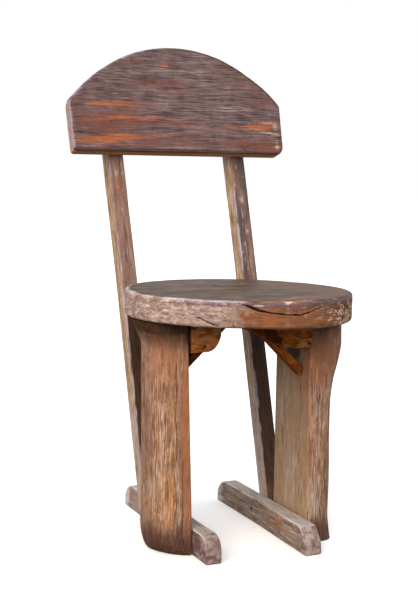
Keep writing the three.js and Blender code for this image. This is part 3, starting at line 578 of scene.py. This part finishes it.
def board():
    """The D-shaped board, in its own plane: u along it, v up it and w forwards from its back. The
    lower and upper edge lines give the height of each rounded section, and the right end flares."""
    left, left_corner, right, arc_radius, crown = -215.5, -211.5, 217.0, 251.5, 8.0
    arc_v, arc_end = BOARD_HEIGHT - arc_radius, np.radians(43.0)
    end_v, shoulder_v = 93.0, 101.0  # the left end's height, and the height just inside it
    round_u, round_v, round_radius = 201.0, 14.8, 16.0  # the round of the lower right corner
    flare_from, flare, flare_v = 150.0, 5.0, 92.0  # the right end leans out by flare at flare_v
    u = left + (right - left) * denser_ends(330, 0.75)
    top = arc_v + np.sqrt(np.maximum(arc_radius ** 2 - (u - crown) ** 2, 1.0))
    edge_u, edge_v = crown - arc_radius * np.sin(arc_end), arc_v + arc_radius * np.cos(arc_end)
    slope = (edge_v - shoulder_v) / (edge_u - left_corner)
    top = np.where(u < edge_u, edge_v + (u - edge_u) * slope, top)
    top = top + 4.5 * hump(u + 180.0, 55.0) + 1.2 * hump(u - 95.0, 110.0)
    top = np.where(u < left_corner, end_v + (u - left) * 2.0, top)
    bottom = round_v - np.sqrt(np.maximum(round_radius ** 2 - np.maximum(u - round_u, 0.0) ** 2, 0.0))
    bottom = np.where(u < left_corner, (left_corner - u) * 0.35, bottom)
    w, plane = plank(np.stack([u, bottom], -1), np.stack([u, top], -1), BOARD_THICK, 3.2, 3.0, (16, 118), 12)
    stations, (u, v) = u, np.moveaxis(plane, -1, 0)
    rise = np.gradient(top, stations)
    from_top = (np.interp(u, stations, top) - v) / np.hypot(1.0, np.interp(u, stations, rise))
    from_low, from_left, from_right = v - np.interp(u, stations, bottom), u - left, right - u
    u = u + flare * v / flare_v * step(u, flare_from, right)
    w = w + BOARD_THICK / 2.0
    points = np.stack([u, w, v], axis=-1)
    front = step(w, 20.5, 23.5)
    wear = noise(points, (60, 20, 6), 23, 3)
    orange = spots(u, v, BOARD_ORANGE)
    pale = spots(u, v, BOARD_PALE)
    chipped = step(noise(points, (5, 5, 5), 26), 0.35, 0.8)
    pale += 0.6 * (1 - step(from_top, 1, 4.5)) * step(u, 0, 60) * chipped
    depth = 0.1 + 0.3 * (1 + noise(points, (150, 60, 45), 22, 2))
    depth += 0.22 * (1 + noise(points, (95, 30, 3.2), 21, 3)) * (0.6 + front)
    depth += 0.35 * step(noise(points, (14, 14, 7), 27), 0.62, 0.95) + 0.25 * orange * front
    depth += 0.5 * (1 + noise(points, (35, 20, 20), 25, 2)) * step(np.abs(w - BOARD_THICK / 2), 7, 12.5) * (
        1 - front * 0.8)
    left_end = 1 - step(u, -214.5, -211)
    faded = spot(u, v, (40, 105), (110, 60))
    marks = {
        # painted shade along the rounded top, lower and right edges of the front
        "dark": held(front * (0.8 + 0.5 * wear) * np.maximum.reduce([
            (1 - step(from_top, 3, 7)) * step(u, -40, 60), (1 - step(from_low, 5.5, 9)) * 0.9,
            0.7 * (1 - step(from_right, 2, 5))])),
        # painted light: the underside made lighter, as if lit from below
        "under": held((1 - front) * (1 - step(v, 2, 6)) * (0.9 + 0.4 * wear)),
        "worn": held(front * orange * (0.82 + 0.55 * wear) + 0.25 * left_end),
        "red": held(front * (spots(u, v, BOARD_RED) * (0.8 + 0.5 * wear) + 0.3
                             + 0.65 * noise(points, (120, 60, 22), 29, 3) - 0.35 * faded)),
        "pale": held(front * pale * (0.75 + 0.8 * noise(points, (22, 10, 3), 28, 3))),
        "end": held(left_end * (0.9 + 0.3 * wear)),
        # painted highlight: pale lavender strips along the left end, the left arc and above the lower edge
        "painted_highlight": held(step(w, 16, 23) * np.maximum.reduce([
            (1 - step(from_left, 3, 8)) * step(v, 2, 8) * (0.55 + 0.7 * wear),
            (1 - step(from_top, 3, 7)) * (1 - step(u, -70, 20)) * (0.5 + 0.7 * wear),
            band(from_low, 10.0, 2.0) * (0.15 + 0.9 * wear)])),
        "rim": held((1 - front) * step(w, 1.5, 4.5) * step(u, -60, 60) * (0.8 + 0.4 * wear)),
    }
    u, w, v = np.moveaxis(carve(points, depth), -1, 0)
    u, v = u * np.cos(BOARD_TILT) - v * np.sin(BOARD_TILT), u * np.sin(BOARD_TILT) + v * np.cos(BOARD_TILT)
    back_y = float(post_front(np.array(BOARD_BOTTOM), POSTS["right"]["foot"])) - GAP
    rings = np.stack([u, back_y + v * np.sin(RAKE) - w * np.cos(RAKE),
                      BOARD_BOTTOM + v * np.cos(RAKE) + w * np.sin(RAKE)], axis=-1)
    skin("d_shaped_backrest_board", rings, "backrest_board", marks, "board_wood")


# ---- back posts ----

# foot is y of the front face on the floor. Marks on it are (across, height, reaches, strength).
POSTS = {
    "left": dict(sign=-1, foot=55.0, seed=40, speckled=0.5, grey=0.35,
                 orange=[(0, 612, 8, 22, 0.9), (3, 540, 6, 40, 0.4), (-3, 470, 8, 20, 0.35)],
                 pale=[(2, 634, 8, 5, 1), (-6, 560, 4, 60, 0.3), (4, 500, 5, 40, 0.35)]),
    "right": dict(sign=1, foot=46.0, seed=50, speckled=1.0, grey=0.75,
                  orange=[(-2, 520, 6, 30, 0.3), (3, 600, 6, 30, 0.3)],
                  pale=[(0, 588, 8, 8, 0.8), (-3, 560, 5, 16, 0.5), (2, 530, 5, 14, 0.5),
                        (1, 470, 9, 26, 0.5)]),
}
POST_SPLITS = [([(470, 2), (560, -3)], 1.7), ([(120, 4), (260, 1)], 1.7), ([(600, -5), (660, -6)], 1.7),
               ([(300, -4), (380, 0)], 1.7)]


def post(side):
    """A raked post: the front face follows two straight lines with a parabola between, the back face
    lies one depth behind it, and the top is cut square to the rake. It leans out a little."""
    one = POSTS[side]
    sign, foot, seed = one["sign"], one["foot"], one["seed"]
    top = BOARD_BOTTOM + POST_OVERLAP * np.cos(RAKE)
    z = top * denser_ends(380, 0.5)
    front = np.stack([post_front(z, foot), z], axis=-1)
    square = step(z, POST_SQUARE_FROM, top)[:, None]
    flat_way = np.stack([np.hypot(1.0, post_slope(z, foot)), np.zeros_like(z)], axis=-1)
    square_way = np.array([[np.cos(RAKE), -np.sin(RAKE)]])
    back = front + POST_DEPTH * (flat_way * (1 - square) + square_way * square)
    width = POST_WIDTH + POST_SPARE
    x, plane = plank(front, back, width, 2.6, 1.5, (20, 26), 6)
    y, z = plane[..., 0], plane[..., 1]
    behind = y - post_front(z, foot)
    flat = np.stack([x, behind, z], axis=-1)
    on_front = 1 - step(behind, 1, 3.2)
    edge = step(np.abs(x), 11.5, 15.3) * (1 - step(behind, 2, 7))
    nicks = step(noise(flat, (9, 9, 16), seed + 2), 0.45, 0.9)
    split = 0.7 * cracks(z, x, POST_SPLITS) * (1 - step(behind, 1, 3))
    depth = 0.1 + 0.25 * (1 + noise(flat + seed * 31.0, (40, 40, 90), seed + 1, 2))
    depth += 0.18 * (1 + noise(flat + seed * 53.0, (3.5, 3.5, 120), seed, 3)) + 0.9 * nicks * edge + split
    rings = np.stack([sign * (POST_INNER + x + width / 2.0 + POST_SPLAY * z), y, z], axis=-1)
    wear = noise(flat + 11.0, (12, 12, 60), seed + 5, 3)
    flecks = step(noise(flat, (4, 4, 8), seed + 9), 0.5, 0.8)
    marks = {
        "front": on_front,
        # painted highlight: a pale bluish line along the outer front edge
        "edge": held(spot(behind, x, (1.0, -14.2 * sign), (2.4, 2.4)) * step(z, 60, 200)
                     * (0.55 + 0.9 * wear + 0.5 * noise(flat, (9, 9, 14), seed + 8))),
        "orange": held(on_front * spots(x * sign, z, one["orange"]) * (0.8 + 0.6 * wear)),
        "pale": held(on_front * spots(x * sign, z, one["pale"]) * (0.8 + 0.7 * wear)
                     + 0.5 * on_front * flecks * one["speckled"]
                     + 2.2 * (1 - on_front) * step(wear, -0.7, 0.2) * (1 - step(z, 130, 280))),
        "grey": held(on_front * one["grey"] * (0.7 + 1.2 * wear) * step(z, 380, 450)),
        # painted shade on the front below the seat
        "low": held(on_front * (1 - step(z, 330, 470)) * (0.85 + 0.4 * wear)),
        "gap": held(split),
    }
    skin(side + "_raked_post", carve(rings, depth), side + "_back_post", marks, "post_wood")


# ---- legs ----

# front, back and swell are the half log's sizes, and the flare under the seat begins drop mm below
# it and ends run mm higher. spare is how far the bark side stands outside the plain solid: heights,
# then mm. Marks are (along the ring from the inner front edge, less than 0 on the inner face,
# height, reach along, reach up, strength), but cracks are lines of (height, along) with a width.
# The last marks of each leg are mostly painted shade under the seat and beside the brace and block.
LEGS = {
    "left": dict(
        sign=-1, front=-66, back=60, swell=64, taper=0.03, lean=0.04, flare=20, drop=51, run=55,
        foot=-13, square=1.5, worn=4.0, damp=96, seed=60, spare=([0, 50, 100, 396], [3.5, 2.5, 1.5, 1.0]),
        cracks=[([(330, 20), (250, 24), (180, 23)], 0.9), ([(160, 12), (60, 16), (10, 15)], 0.9),
                ([(395, 82), (340, 80)], 1.0), ([(350, 110), (200, 116)], 1.2),
                ([(220, 140), (60, 146)], 1.1), ([(120, -40), (300, -46)], 1.0)],
        holes=[(74, 375, 2.4, 3, 1), (30, 240, 1.2, 5, 0.7)], knots=[(76, 370, 7, 12, 0.7)],
        gold=[(33, 150, 3.6, 60, 0.9), (36, 90, 3.4, 40, 0.7), (30, 250, 3.6, 60, 0.5), (2, 230, 3, 90, 0.45),
              (58, 200, 3.6, 40, 0.4), (48, 120, 4, 50, 0.45), (42, 60, 3.6, 30, 0.5)],
        grey=[(22, 110, 3, 110, 0.95), (26, 210, 2.6, 60, 0.8), (46, 250, 3, 60, 0.7), (52, 160, 3, 60, 0.6),
              (24, 260, 4, 60, 0.6), (66, 110, 16, 90, 0.35), (56, 300, 2, 30, 0.8), (80, 180, 16, 140, 0.2)],
        warm=[(6, 180, 15, 210, 1.1), (40, 330, 50, 60, 0.7), (60, 230, 30, 90, 0.25)],
        dark_tone_and_painted_shade=[(30, 392, 120, 22, 0.7), (30, 360, 120, 30, 0.35), (92, 190, 30, 170, 0.37)]),
    "right": dict(
        sign=1, front=-81, back=41, swell=59.5, taper=0.0, lean=-0.005, flare=21, drop=161, run=117,
        foot=0, square=6.0, worn=3.0, damp=76, seed=80,
        spare=([0, 50, 100, 140, 180, 240, 290, 345, 396], [2.0, 3.6, 4.6, 4.0, 2.5, 2.6, 0.4, 3.4, 1.5]),
        cracks=[([(264, 23), (240, 22), (212, 19)], 1.3), ([(110, 22), (30, 20)], 0.8),
                ([(330, -30), (180, -34), (80, -31)], 0.9), ([(220, -90), (110, -94)], 0.8),
                ([(340, 60), (180, 66)], 1.1), ([(200, 110), (60, 104)], 1.1)],
        holes=[(24, 352, 1.6, 2.2, 0.7), (-44, 300, 1.4, 2, 0.6)], knots=[(26, 300, 8, 16, 0.5)],
        gold=[(2, 240, 2.5, 120, 0.6), (16, 300, 5, 40, 0.35)],
        grey=[(20, 238, 3.4, 24, 1), (14, 266, 9, 46, 0.5), (13, 182, 4.5, 30, 0.95), (24, 190, 4, 20, 0.7),
              (17, 90, 12, 60, 0.9), (22, 160, 12, 60, 0.6), (-60, 110, 30, 90, 0.6),
              (-90, 220, 24, 120, 0.5), (12, 130, 8, 70, 0.55), (4, 260, 3, 90, 0.6), (-20, 90, 22, 50, 0.4)],
        warm=[(12, 335, 42, 60, 1.2), (10, 240, 26, 60, 0.4), (4, 200, 7, 160, 0.6), (16, 210, 22, 70, 0.45),
              (-9, 310, 12, 70, 0.9), (-34, 290, 22, 50, 0.6), (-50, 210, 20, 60, 0.25)],
        dark_tone_and_painted_shade=[(-60, 334, 22, 20, 1.4), (-84, 358, 22, 16, 1), (-44, 330, 10, 12, 1), (10, 388, 60, 20, 0.5),
              (14, 346, 44, 36, 0.42)]),
}


def leg_inner(leg, z):
    """How far from the chair's middle the leg's inner face stands at the height z."""
    return RUNNER_OUTER + GAP + leg["lean"] * np.maximum(0.0, z - RUNNER_HEIGHT)


def leg(side):
    """A split log: D-shaped sections by height, flat towards the middle of the chair. Outside, each
    quarter is a superellipse, (outwards / swell)^n + (along / half)^n = 1, squarer in front."""
    one = LEGS[side]
    arc_count, flat_count, caps, seed = 150, 64, 8, one["seed"]
    foot_height, front_power, back_power = 50.0, 3.2, 2.2
    half_deep, half_long = 30.0, 63.0
    z = UNDER_SEAT * denser_ends(236, 0.5)
    foot = np.maximum(0.0, 1 - z / foot_height) ** 2
    flare_from = SEAT_BOTTOM - one["drop"]
    flare = step(z, flare_from, flare_from + one["run"])
    swell = one["swell"] - one["taper"] * z + one["foot"] * foot + one["flare"] * flare
    swell = swell + np.interp(z, *one["spare"])
    squareness = front_power + (one["square"] - front_power) * foot
    a = np.pi * (denser_ends(arc_count, 0.35) - 0.5)
    power = 2.0 / np.where(a[None, :] < 0, squareness[:, None], back_power)
    outwards = swell[:, None] * np.abs(np.cos(a)) ** power
    half, middle = (one["back"] - one["front"]) / 2.0, (one["back"] + one["front"]) / 2.0
    along = half * np.sign(a) * np.abs(np.sin(a)) ** power
    flat = 1.0 - 2.0 * denser_ends(flat_count + 2, 0.4)[1:-1]
    outwards = np.concatenate([outwards, np.zeros((len(z), flat_count))], axis=1)
    along = np.concatenate([along, np.repeat(half * flat[None, :], len(z), axis=0)], axis=1)
    for _ in range(2):  # rounds the edges by averaging neighbours round the ring
        outwards, along = ((np.roll(d, 1, 1) + 2 * d + np.roll(d, -1, 1)) / 4.0 for d in (outwards, along))
    # the lower edge is worn round
    shrink = one["worn"] * (1 - np.sqrt(1 - (1 - held(z / one["worn"])) ** 2))
    outwards = (outwards - swell[:, None] / 2) * (1 - shrink / half_deep)[:, None] + swell[:, None] / 2
    along = along * (1 - shrink / half_long)[:, None]
    height = np.repeat(z[:, None], along.shape[1], axis=1)
    x = one["sign"] * (leg_inner(one, height) + outwards)
    rings = with_caps(np.stack([x, middle + along, height], axis=-1), caps)
    outwards, along = (np.pad(d, ((caps, caps), (0, 0)), mode="edge") for d in (outwards, along))
    z = rings[..., 2]
    bark = step(outwards, 0.8, 2.5)
    # u runs round the bark side in mm from the inner front edge, and is negative on the inner face
    steps = np.hypot(*(np.diff(d, axis=1, append=d[:, :1]) for d in (outwards, along)))
    u = np.where(bark < 0.5, -(along + half), np.cumsum(steps, axis=1) - steps)
    splits = cracks(z, u + 1.2 * noise(rings, (9, 9, 18), seed + 4), one["cracks"])
    holes, knots = spots(u, z, one["holes"]), spots(u, z, one["knots"])
    depth = 0.15 + 0.26 * (1 + noise(rings + seed, (4, 4, 110), seed, 3))
    depth += (0.2 + 0.4 * bark) * (1 + noise(rings + seed, (26, 26, 120), seed + 1, 2))
    depth += (0.15 + 0.25 * bark) * (1 + noise(rings, (60, 60, 160), seed + 2, 2))
    depth += 1.3 * splits + 2.0 * holes + 0.8 * knots
    depth *= 1 - 0.9 * (1 - step(z, 0, 2))
    wear = noise(rings, (8, 8, 45), seed + 6, 3)
    marks = {
        "gap": held(np.maximum(0.75 * splits, holes)),
        "inner": 1 - bark,
        "gold": held(spots(u, z, one["gold"]) * (0.8 + 0.8 * wear)),
        "grey": held(spots(u, z, one["grey"]) * (0.75 + 0.7 * wear)),
        "foot": held((1 - step(z, 6.0, one["damp"])) * (0.85 + 0.6 * wear) + 0.7 * knots),
        "warm": held(spots(u, z, one["warm"]) * (0.85 + 0.5 * wear)),
        # painted shade just under the seat and at the spots, and a darker streak on the left leg
        "dark_tone_and_painted_shade": held(0.55 * step(z, 345, 392) * (0.9 + 0.6 * wear) + spots(u, z, one["dark_tone_and_painted_shade"])),
    }
    skin(side + "_split_log_leg", carve(rings, depth), side + "_leg", marks, "leg_wood")


# ---- runners ----

# The nose slopes over run mm down to the height low, set mm behind the front, and bulges. spare is
# how much wider it is inwards than the plain solid. plum is how strong the dark stain is on the
# nose and side_plum on the sides, where it fades between the two heights of plum_top.
RUNNERS = {
    "left": dict(
        sign=-1, front=-119.0, back=255.0, run=27.0, low=23.0, set=0.4, bulge=14.0, spare=1.5, seed=110,
        plum=0.5, side_plum=1.0, plum_top=(46, 47),
        side_cracks=[([(-100, 30), (-20, 27), (60, 29)], 0.9), ([(120, 22), (230, 20)], 0.9)],
        top_cracks=[([(-88, 3), (-40, 5), (20, 2)], 0.9), ([(180, -4), (235, -2)], 0.8)],
        orange=[(-110, 34, 16, 10, 0.7), (-112, 8, 12, 8, 0.4)]),
    "right": dict(
        sign=1, front=-140.0, back=218.0, run=25.0, low=19.0, set=4.0, bulge=4.0, spare=5.0, seed=130,
        plum=0.3, side_plum=0.3, plum_top=(8, 24),
        side_cracks=[([(200, 30), (120, 27), (40, 31), (-30, 28)], 1.1),
                     ([(60, 14), (-40, 17), (-110, 13)], 1.0), ([(-60, 36), (-118, 32)], 0.9),
                     ([(180, 12), (110, 10)], 0.9)],
        top_cracks=[([(195, -5), (120, -3), (40, -6)], 0.9), ([(150, 5), (60, 7), (-60, 4)], 0.9),
                    ([(20, 0), (-100, 2)], 0.9)],
        orange=[(-36, 30, 26, 8, 0.9), (-75, 22, 22, 7, 0.5), (60, 34, 30, 6, 0.4), (-128, 34, 12, 10, 0.5)]),
}


def runner(side):
    """A skid: the lower edge line is the floor, the upper one has a rounded heel and a sloped nose,
    both drawn as curves pulled towards one control point."""
    one = RUNNERS[side]
    front, back, seed = one["front"], one["back"], one["seed"]
    nose_top = np.array([front + one["run"], RUNNER_HEIGHT])
    nose_end = np.array([front + one["set"], one["low"]])
    chord = nose_end - nose_top
    out = np.array([chord[1], -chord[0]])
    control = (nose_top + nose_end) / 2 + out / np.hypot(*out) * one["bulge"]
    heel = bezier((back, 17.0), (back - 4.0, RUNNER_HEIGHT - 4.0), (back - 36.0, RUNNER_HEIGHT), 20)
    straight = resample([heel[-1], nose_top], np.linspace(0, 1, 250))[1:-1]
    upper = np.concatenate([heel, straight, bezier(nose_top, control, nose_end, 22)])
    share = held((upper[:, 0] - nose_end[0]) / (heel[0, 0] - nose_end[0]))
    # evenly spread points come in by a fifth, which keeps the lower ones apart below steep curves
    spread = 0.8 * share + 0.2 * np.linspace(1.0, 0.0, len(upper))
    lower = np.stack([front + (back - front) * spread, np.zeros(len(upper))], -1)
    x, plane = plank(lower, upper, RUNNER_WIDTH, 3.2, 2.2, (26, 44), 8)
    y, z = plane[..., 0], plane[..., 1]
    inwards = (1 - x * one["sign"] / RUNNER_WIDTH * 2) / 2
    middle = one["sign"] * (RUNNER_OUTER - RUNNER_WIDTH / 2)
    x = x + middle - one["sign"] * one["spare"] * (1 - step(y, front, front + 220.0)) * inwards
    rings = np.stack([x, y, z], axis=-1)
    hewn = noise(rings, (30, 60, 24), seed + 1, 2)
    on_top = step(z, 43, 45.6)
    splits = np.maximum(cracks(y, z + 1.2 * hewn, one["side_cracks"]) * (1 - on_top),
                        cracks(y, x - middle, one["top_cracks"]) * on_top)
    gouges = step(noise(rings, (7, 26, 7), seed + 3), 0.5, 0.9)
    edge = step(np.abs(x - middle), 9.5, 14) * step(z, 40, 46)
    depth = 0.1 + 0.4 * (1 + hewn) + 0.25 * (1 + noise(rings, (3.2, 110, 3.2), seed, 3))
    depth += splits + 0.7 * gouges * (0.3 + edge)
    depth *= 1 - 0.9 * (1 - step(z, 0, 2))
    wear = noise(rings, (8, 30, 8), seed + 5, 3)
    nose = 1 - step(y, nose_top[0] - 6.0, nose_top[0] + 4.0)
    corner = held(1.0 - np.abs(np.abs(normals(rings)[..., 0]) - 0.72) / 0.3) * step(z, 3, 12)
    marks = {
        "gap": held(0.65 * splits),
        "top": held(on_top * (0.85 + 0.4 * wear) + 0.55 * nose * step(z, 20, 30)),
        "orange": held(spots(y, z, one["orange"]) * (0.8 + 0.7 * wear)),
        "nose": held(nose * (0.7 + 0.6 * wear)),
        "plum": held(nose * (one["plum"] + 0.7 * noise(rings, (8, 8, 6), seed + 7, 2))
                     + (1 - nose) * (1 - on_top) * one["side_plum"] * (1 - step(z, *one["plum_top"]))
                     * (1 + 1.6 * wear) * (1 - step(y, 150, 200))),
        "edge": held(edge * (0.5 + 0.7 * wear) + 0.9 * nose * corner + 0.35 * corner * (1 + wear)
                     + step(y, back - 34.0, back - 12.0) * (0.75 + 0.5 * wear)),
    }
    skin(side + "_floor_runner", carve(rings, depth), side + "_runner", marks, "runner_wood")


# ---- braces and corner blocks ----

# The right block is drawn wider than its plain solid, so that no light shows between it and the
# brace, which lies 3 mm behind it, and its shadows stand for the dark space between the two.
BLOCKS = {
    "left": dict(width=58, high=53, round_x=26, round_z=32, proud=5, brace_drop=92, seed=150, tint=0.5,
                 joint=1.0, brace_seed=170, brace_tint=-0.7, holes=[(-89, 354, 3, 2.6, 1)], shadows=()),
    "right": dict(width=80, high=51, round_x=48, round_z=38, proud=9, brace_drop=108, seed=160, tint=0.3,
                  joint=0.0, brace_seed=180, brace_tint=-0.08,
                  holes=[(97, 354, 3, 3, 1), (62, 372, 1.6, 1.6, 0.6)],
                  shadows=[(21, 381, 10, 9, 1.8), (28, 370, 9, 9, 1.8), (37, 361, 9, 8, 1.8)]),
}


def under_piece(name, node, sign, lower, upper, front_y, depth_y, seed, tint, counts=(16, 20), holes=(),
                shadows=(), joint=0.0, material=None):
    """A small plank under the seat, between a lower and an upper line of (x, z) on the chair's right,
    mirrored for the left side, with its width running backwards from front_y."""
    w, plane = plank(lower, upper, depth_y, 2.2, 1.4, counts, 8)
    outwards, z = plane[..., 0], plane[..., 1]
    x = sign * outwards
    to_leg = outwards.max() - outwards
    rings = np.stack([x, front_y + depth_y / 2.0 + w, z], axis=-1)
    pits = spots(x, z, holes) * (1 - step(w, -depth_y / 2 + 2, -depth_y / 2 + 6))
    depth = 0.15 + 0.4 * (1 + noise(rings + seed, (18, 18, 14), seed, 2))
    depth += 0.2 * (1 + noise(rings + seed, (12, 5, 5), seed + 1, 3))
    depth = depth * (0.3 + 0.7 * step(to_leg, 2, 6)) + 2.4 * pits
    mottle = noise(rings, (14, 14, 9), seed + 3, 3)
    marks = {"gap": held(pits + joint * (1 - step(to_leg, 2.5, 4))),
             "pale": held(tint + 0.8 * mottle),
             # a darker tone for each piece, painted shade just under the seat, and painted shadows at the
             # shadows spots
             "dark_tone_and_painted_shade": held(-tint + 0.5 * mottle + 0.3 * step(z, 380, 394) + spots(x, z, shadows))}
    skin(name, carve(rings, depth), node, marks, "bracket_wood", material)


def corner_block(side):
    """A short board in the corner of leg and seat, with a rounded lower corner towards the middle."""
    one, block = LEGS[side], BLOCKS[side]
    inner = leg_inner(one, SEAT_BOTTOM) - block["width"]
    bottom = SEAT_BOTTOM - block["high"]
    curve = bezier((inner, bottom + block["round_z"]),
                   (inner + 0.1 * block["round_x"], bottom + 0.1 * block["round_z"]),
                   (inner + block["round_x"], bottom), 26)
    end = (leg_inner(one, bottom) - GAP, bottom)
    lower = np.concatenate([curve, resample([curve[-1], end], np.linspace(0, 1, 18))[1:]])
    upper = np.stack([lower[:, 0], np.full(len(lower), UNDER_SEAT)], axis=-1)
    upper[-1, 0] = leg_inner(one, UNDER_SEAT) - GAP
    under_piece(side + "_rounded_corner_block", side + "_corner_block", one["sign"], lower, upper,
                one["front"] - block["proud"], BLOCK_DEPTH, block["seed"], block["tint"], (18, 30),
                block["holes"], block["shadows"], block["joint"])


def brace(side):
    """A slanted strut from the leg to the seat. The right one's upper end curves back along the seat
    and the lower corner of its foot is worn off."""
    one, block = LEGS[side], BLOCKS[side]
    slope = np.tan(np.radians(BRACE_SLANT))
    rise = BRACE_THICK / np.cos(np.radians(BRACE_SLANT))
    foot_z = SEAT_BOTTOM - block["brace_drop"]
    foot_x = leg_inner(one, foot_z) - GAP
    tip_x = foot_x - (UNDER_SEAT - foot_z) / slope
    lower = [(foot_x, foot_z), (tip_x, UNDER_SEAT)]
    upper = [(foot_x, foot_z + rise), (tip_x + rise / slope, UNDER_SEAT)]
    if side == "right":
        end = np.array([tip_x - 4.0, UNDER_SEAT - 18.5])
        meet_x = end[0] + 32.0
        meet = np.array([meet_x, foot_z + (foot_x - meet_x) * slope])
        bend = meet + np.array([12.0, -12.0 * slope])
        lower = np.concatenate([[(foot_x - 4.5, foot_z + 4.3)], bezier(bend, meet, end, 12)])
        upper.append((end[0], UNDER_SEAT))
    t = denser_ends(70, 0.4)
    under_piece(side + "_slanted_brace", side + "_brace", one["sign"], resample(lower, t),
                resample(upper, t), one["front"] - block["proud"] + BLOCK_TO_BRACE, BRACE_DEPTH,
                block["brace_seed"], block["brace_tint"], material=BRACE_WOOD[side])


seat()
board()
for make in (post, leg, runner, corner_block, brace):
    for side in ("left", "right"):
        make(side)


# ---- studio ----

# The paper takes the chair's shadow but throws no light back up, so undersides stay dark as in the
# photo. It is lit a little from behind, as on a light table.
PAPER, _, shader = new_material("pale_studio_paper")
for key, value in (("Base Color", rgb("#f6f5f3")), ("Roughness", 0.9), ("Emission Color", rgb("#f6f5f3")),
                   ("Emission Strength", 0.25)):
    shader.inputs[key].default_value = value
sheet = bpy.data.meshes.new("studio_floor")
sheet.from_pydata([(x, y, -0.0005) for x, y in ((-30, -30), (30, -30), (30, 30), (-30, 30))], [],
                  [(0, 1, 2, 3)])
sheet.materials.append(PAPER)
paper = placed("studio_floor", sheet)
paper.visible_diffuse = paper.visible_glossy = False

# A bluish sky above, nearly dark below. The camera sees white in its place.
world = bpy.data.worlds.new("white_studio")
world.use_nodes = True
tree = world.node_tree
height = add(tree, "SeparateXYZ", {0: add(tree, "TexCoord", out="Generated")}, 2)
above = add(tree, "MapRange", {0: height, 1: -0.15, 2: 0.15})
sky = add(tree, "Mix", {0: above, 6: rgb("#6a5d52"), 7: rgb("#f3f7ff")}, 2, data_type="RGBA")
seen = add(tree, "LightPath", out="Is Camera Ray")
shown = add(tree, "Mix", {0: seen, 6: sky, 7: (1.0, 1.0, 1.0, 1.0)}, 2, data_type="RGBA")
tree.links.new(shown, tree.nodes["Background"].inputs["Color"])
bpy.context.scene.world = world


def aimed(made, right, up, back, place):
    """Turns a lamp or a camera, which looks away from back, and puts it in its place."""
    turn = np.eye(4)
    turn[:3] = np.stack([right, up, back, place], axis=-1)
    made.matrix_world = Matrix(turn.tolist())


# A broad warm window, high on the left and in front
light = bpy.data.lights.new("window_on_the_left", "SUN")
light.energy, light.angle, light.color = 2.7, np.radians(50.0), rgb("#fff0e2")[:3]
back = np.array([-1.0, -0.9, 0.9])
back /= np.linalg.norm(back)
right = np.cross([0.0, 0.0, 1.0], back)
right /= np.linalg.norm(right)
aimed(placed("window_on_the_left", light), right, np.cross(back, right), back, back * 3.0)

# Camera of the photograph: 25 degrees round to the left, looking 6.52 degrees down, 1.14 degrees askew
AZIMUTH, PITCH, ROLL = np.radians([25.0, 6.52, 1.14])
CAMERA_PLACE = np.array([-861.4, -1736.8, 630.7])
ahead = np.array([np.sin(AZIMUTH) * np.cos(PITCH), np.cos(AZIMUTH) * np.cos(PITCH), -np.sin(PITCH)])
right = np.cross(ahead, [0.0, 0.0, 1.0])
right /= np.linalg.norm(right)
up = np.cross(right, ahead)
lens = bpy.data.cameras.new("camera")
lens.sensor_width, lens.lens, lens.clip_end = 36.0, 66.60, 100.0
camera = placed("camera", lens)
aimed(camera, right * np.cos(ROLL) + up * np.sin(ROLL), up * np.cos(ROLL) - right * np.sin(ROLL), -ahead,
      CAMERA_PLACE * MM + SHIFT)
scene = bpy.context.scene
scene.camera = camera
scene.view_settings.view_transform = "Standard"
scene.view_settings.look = "None"
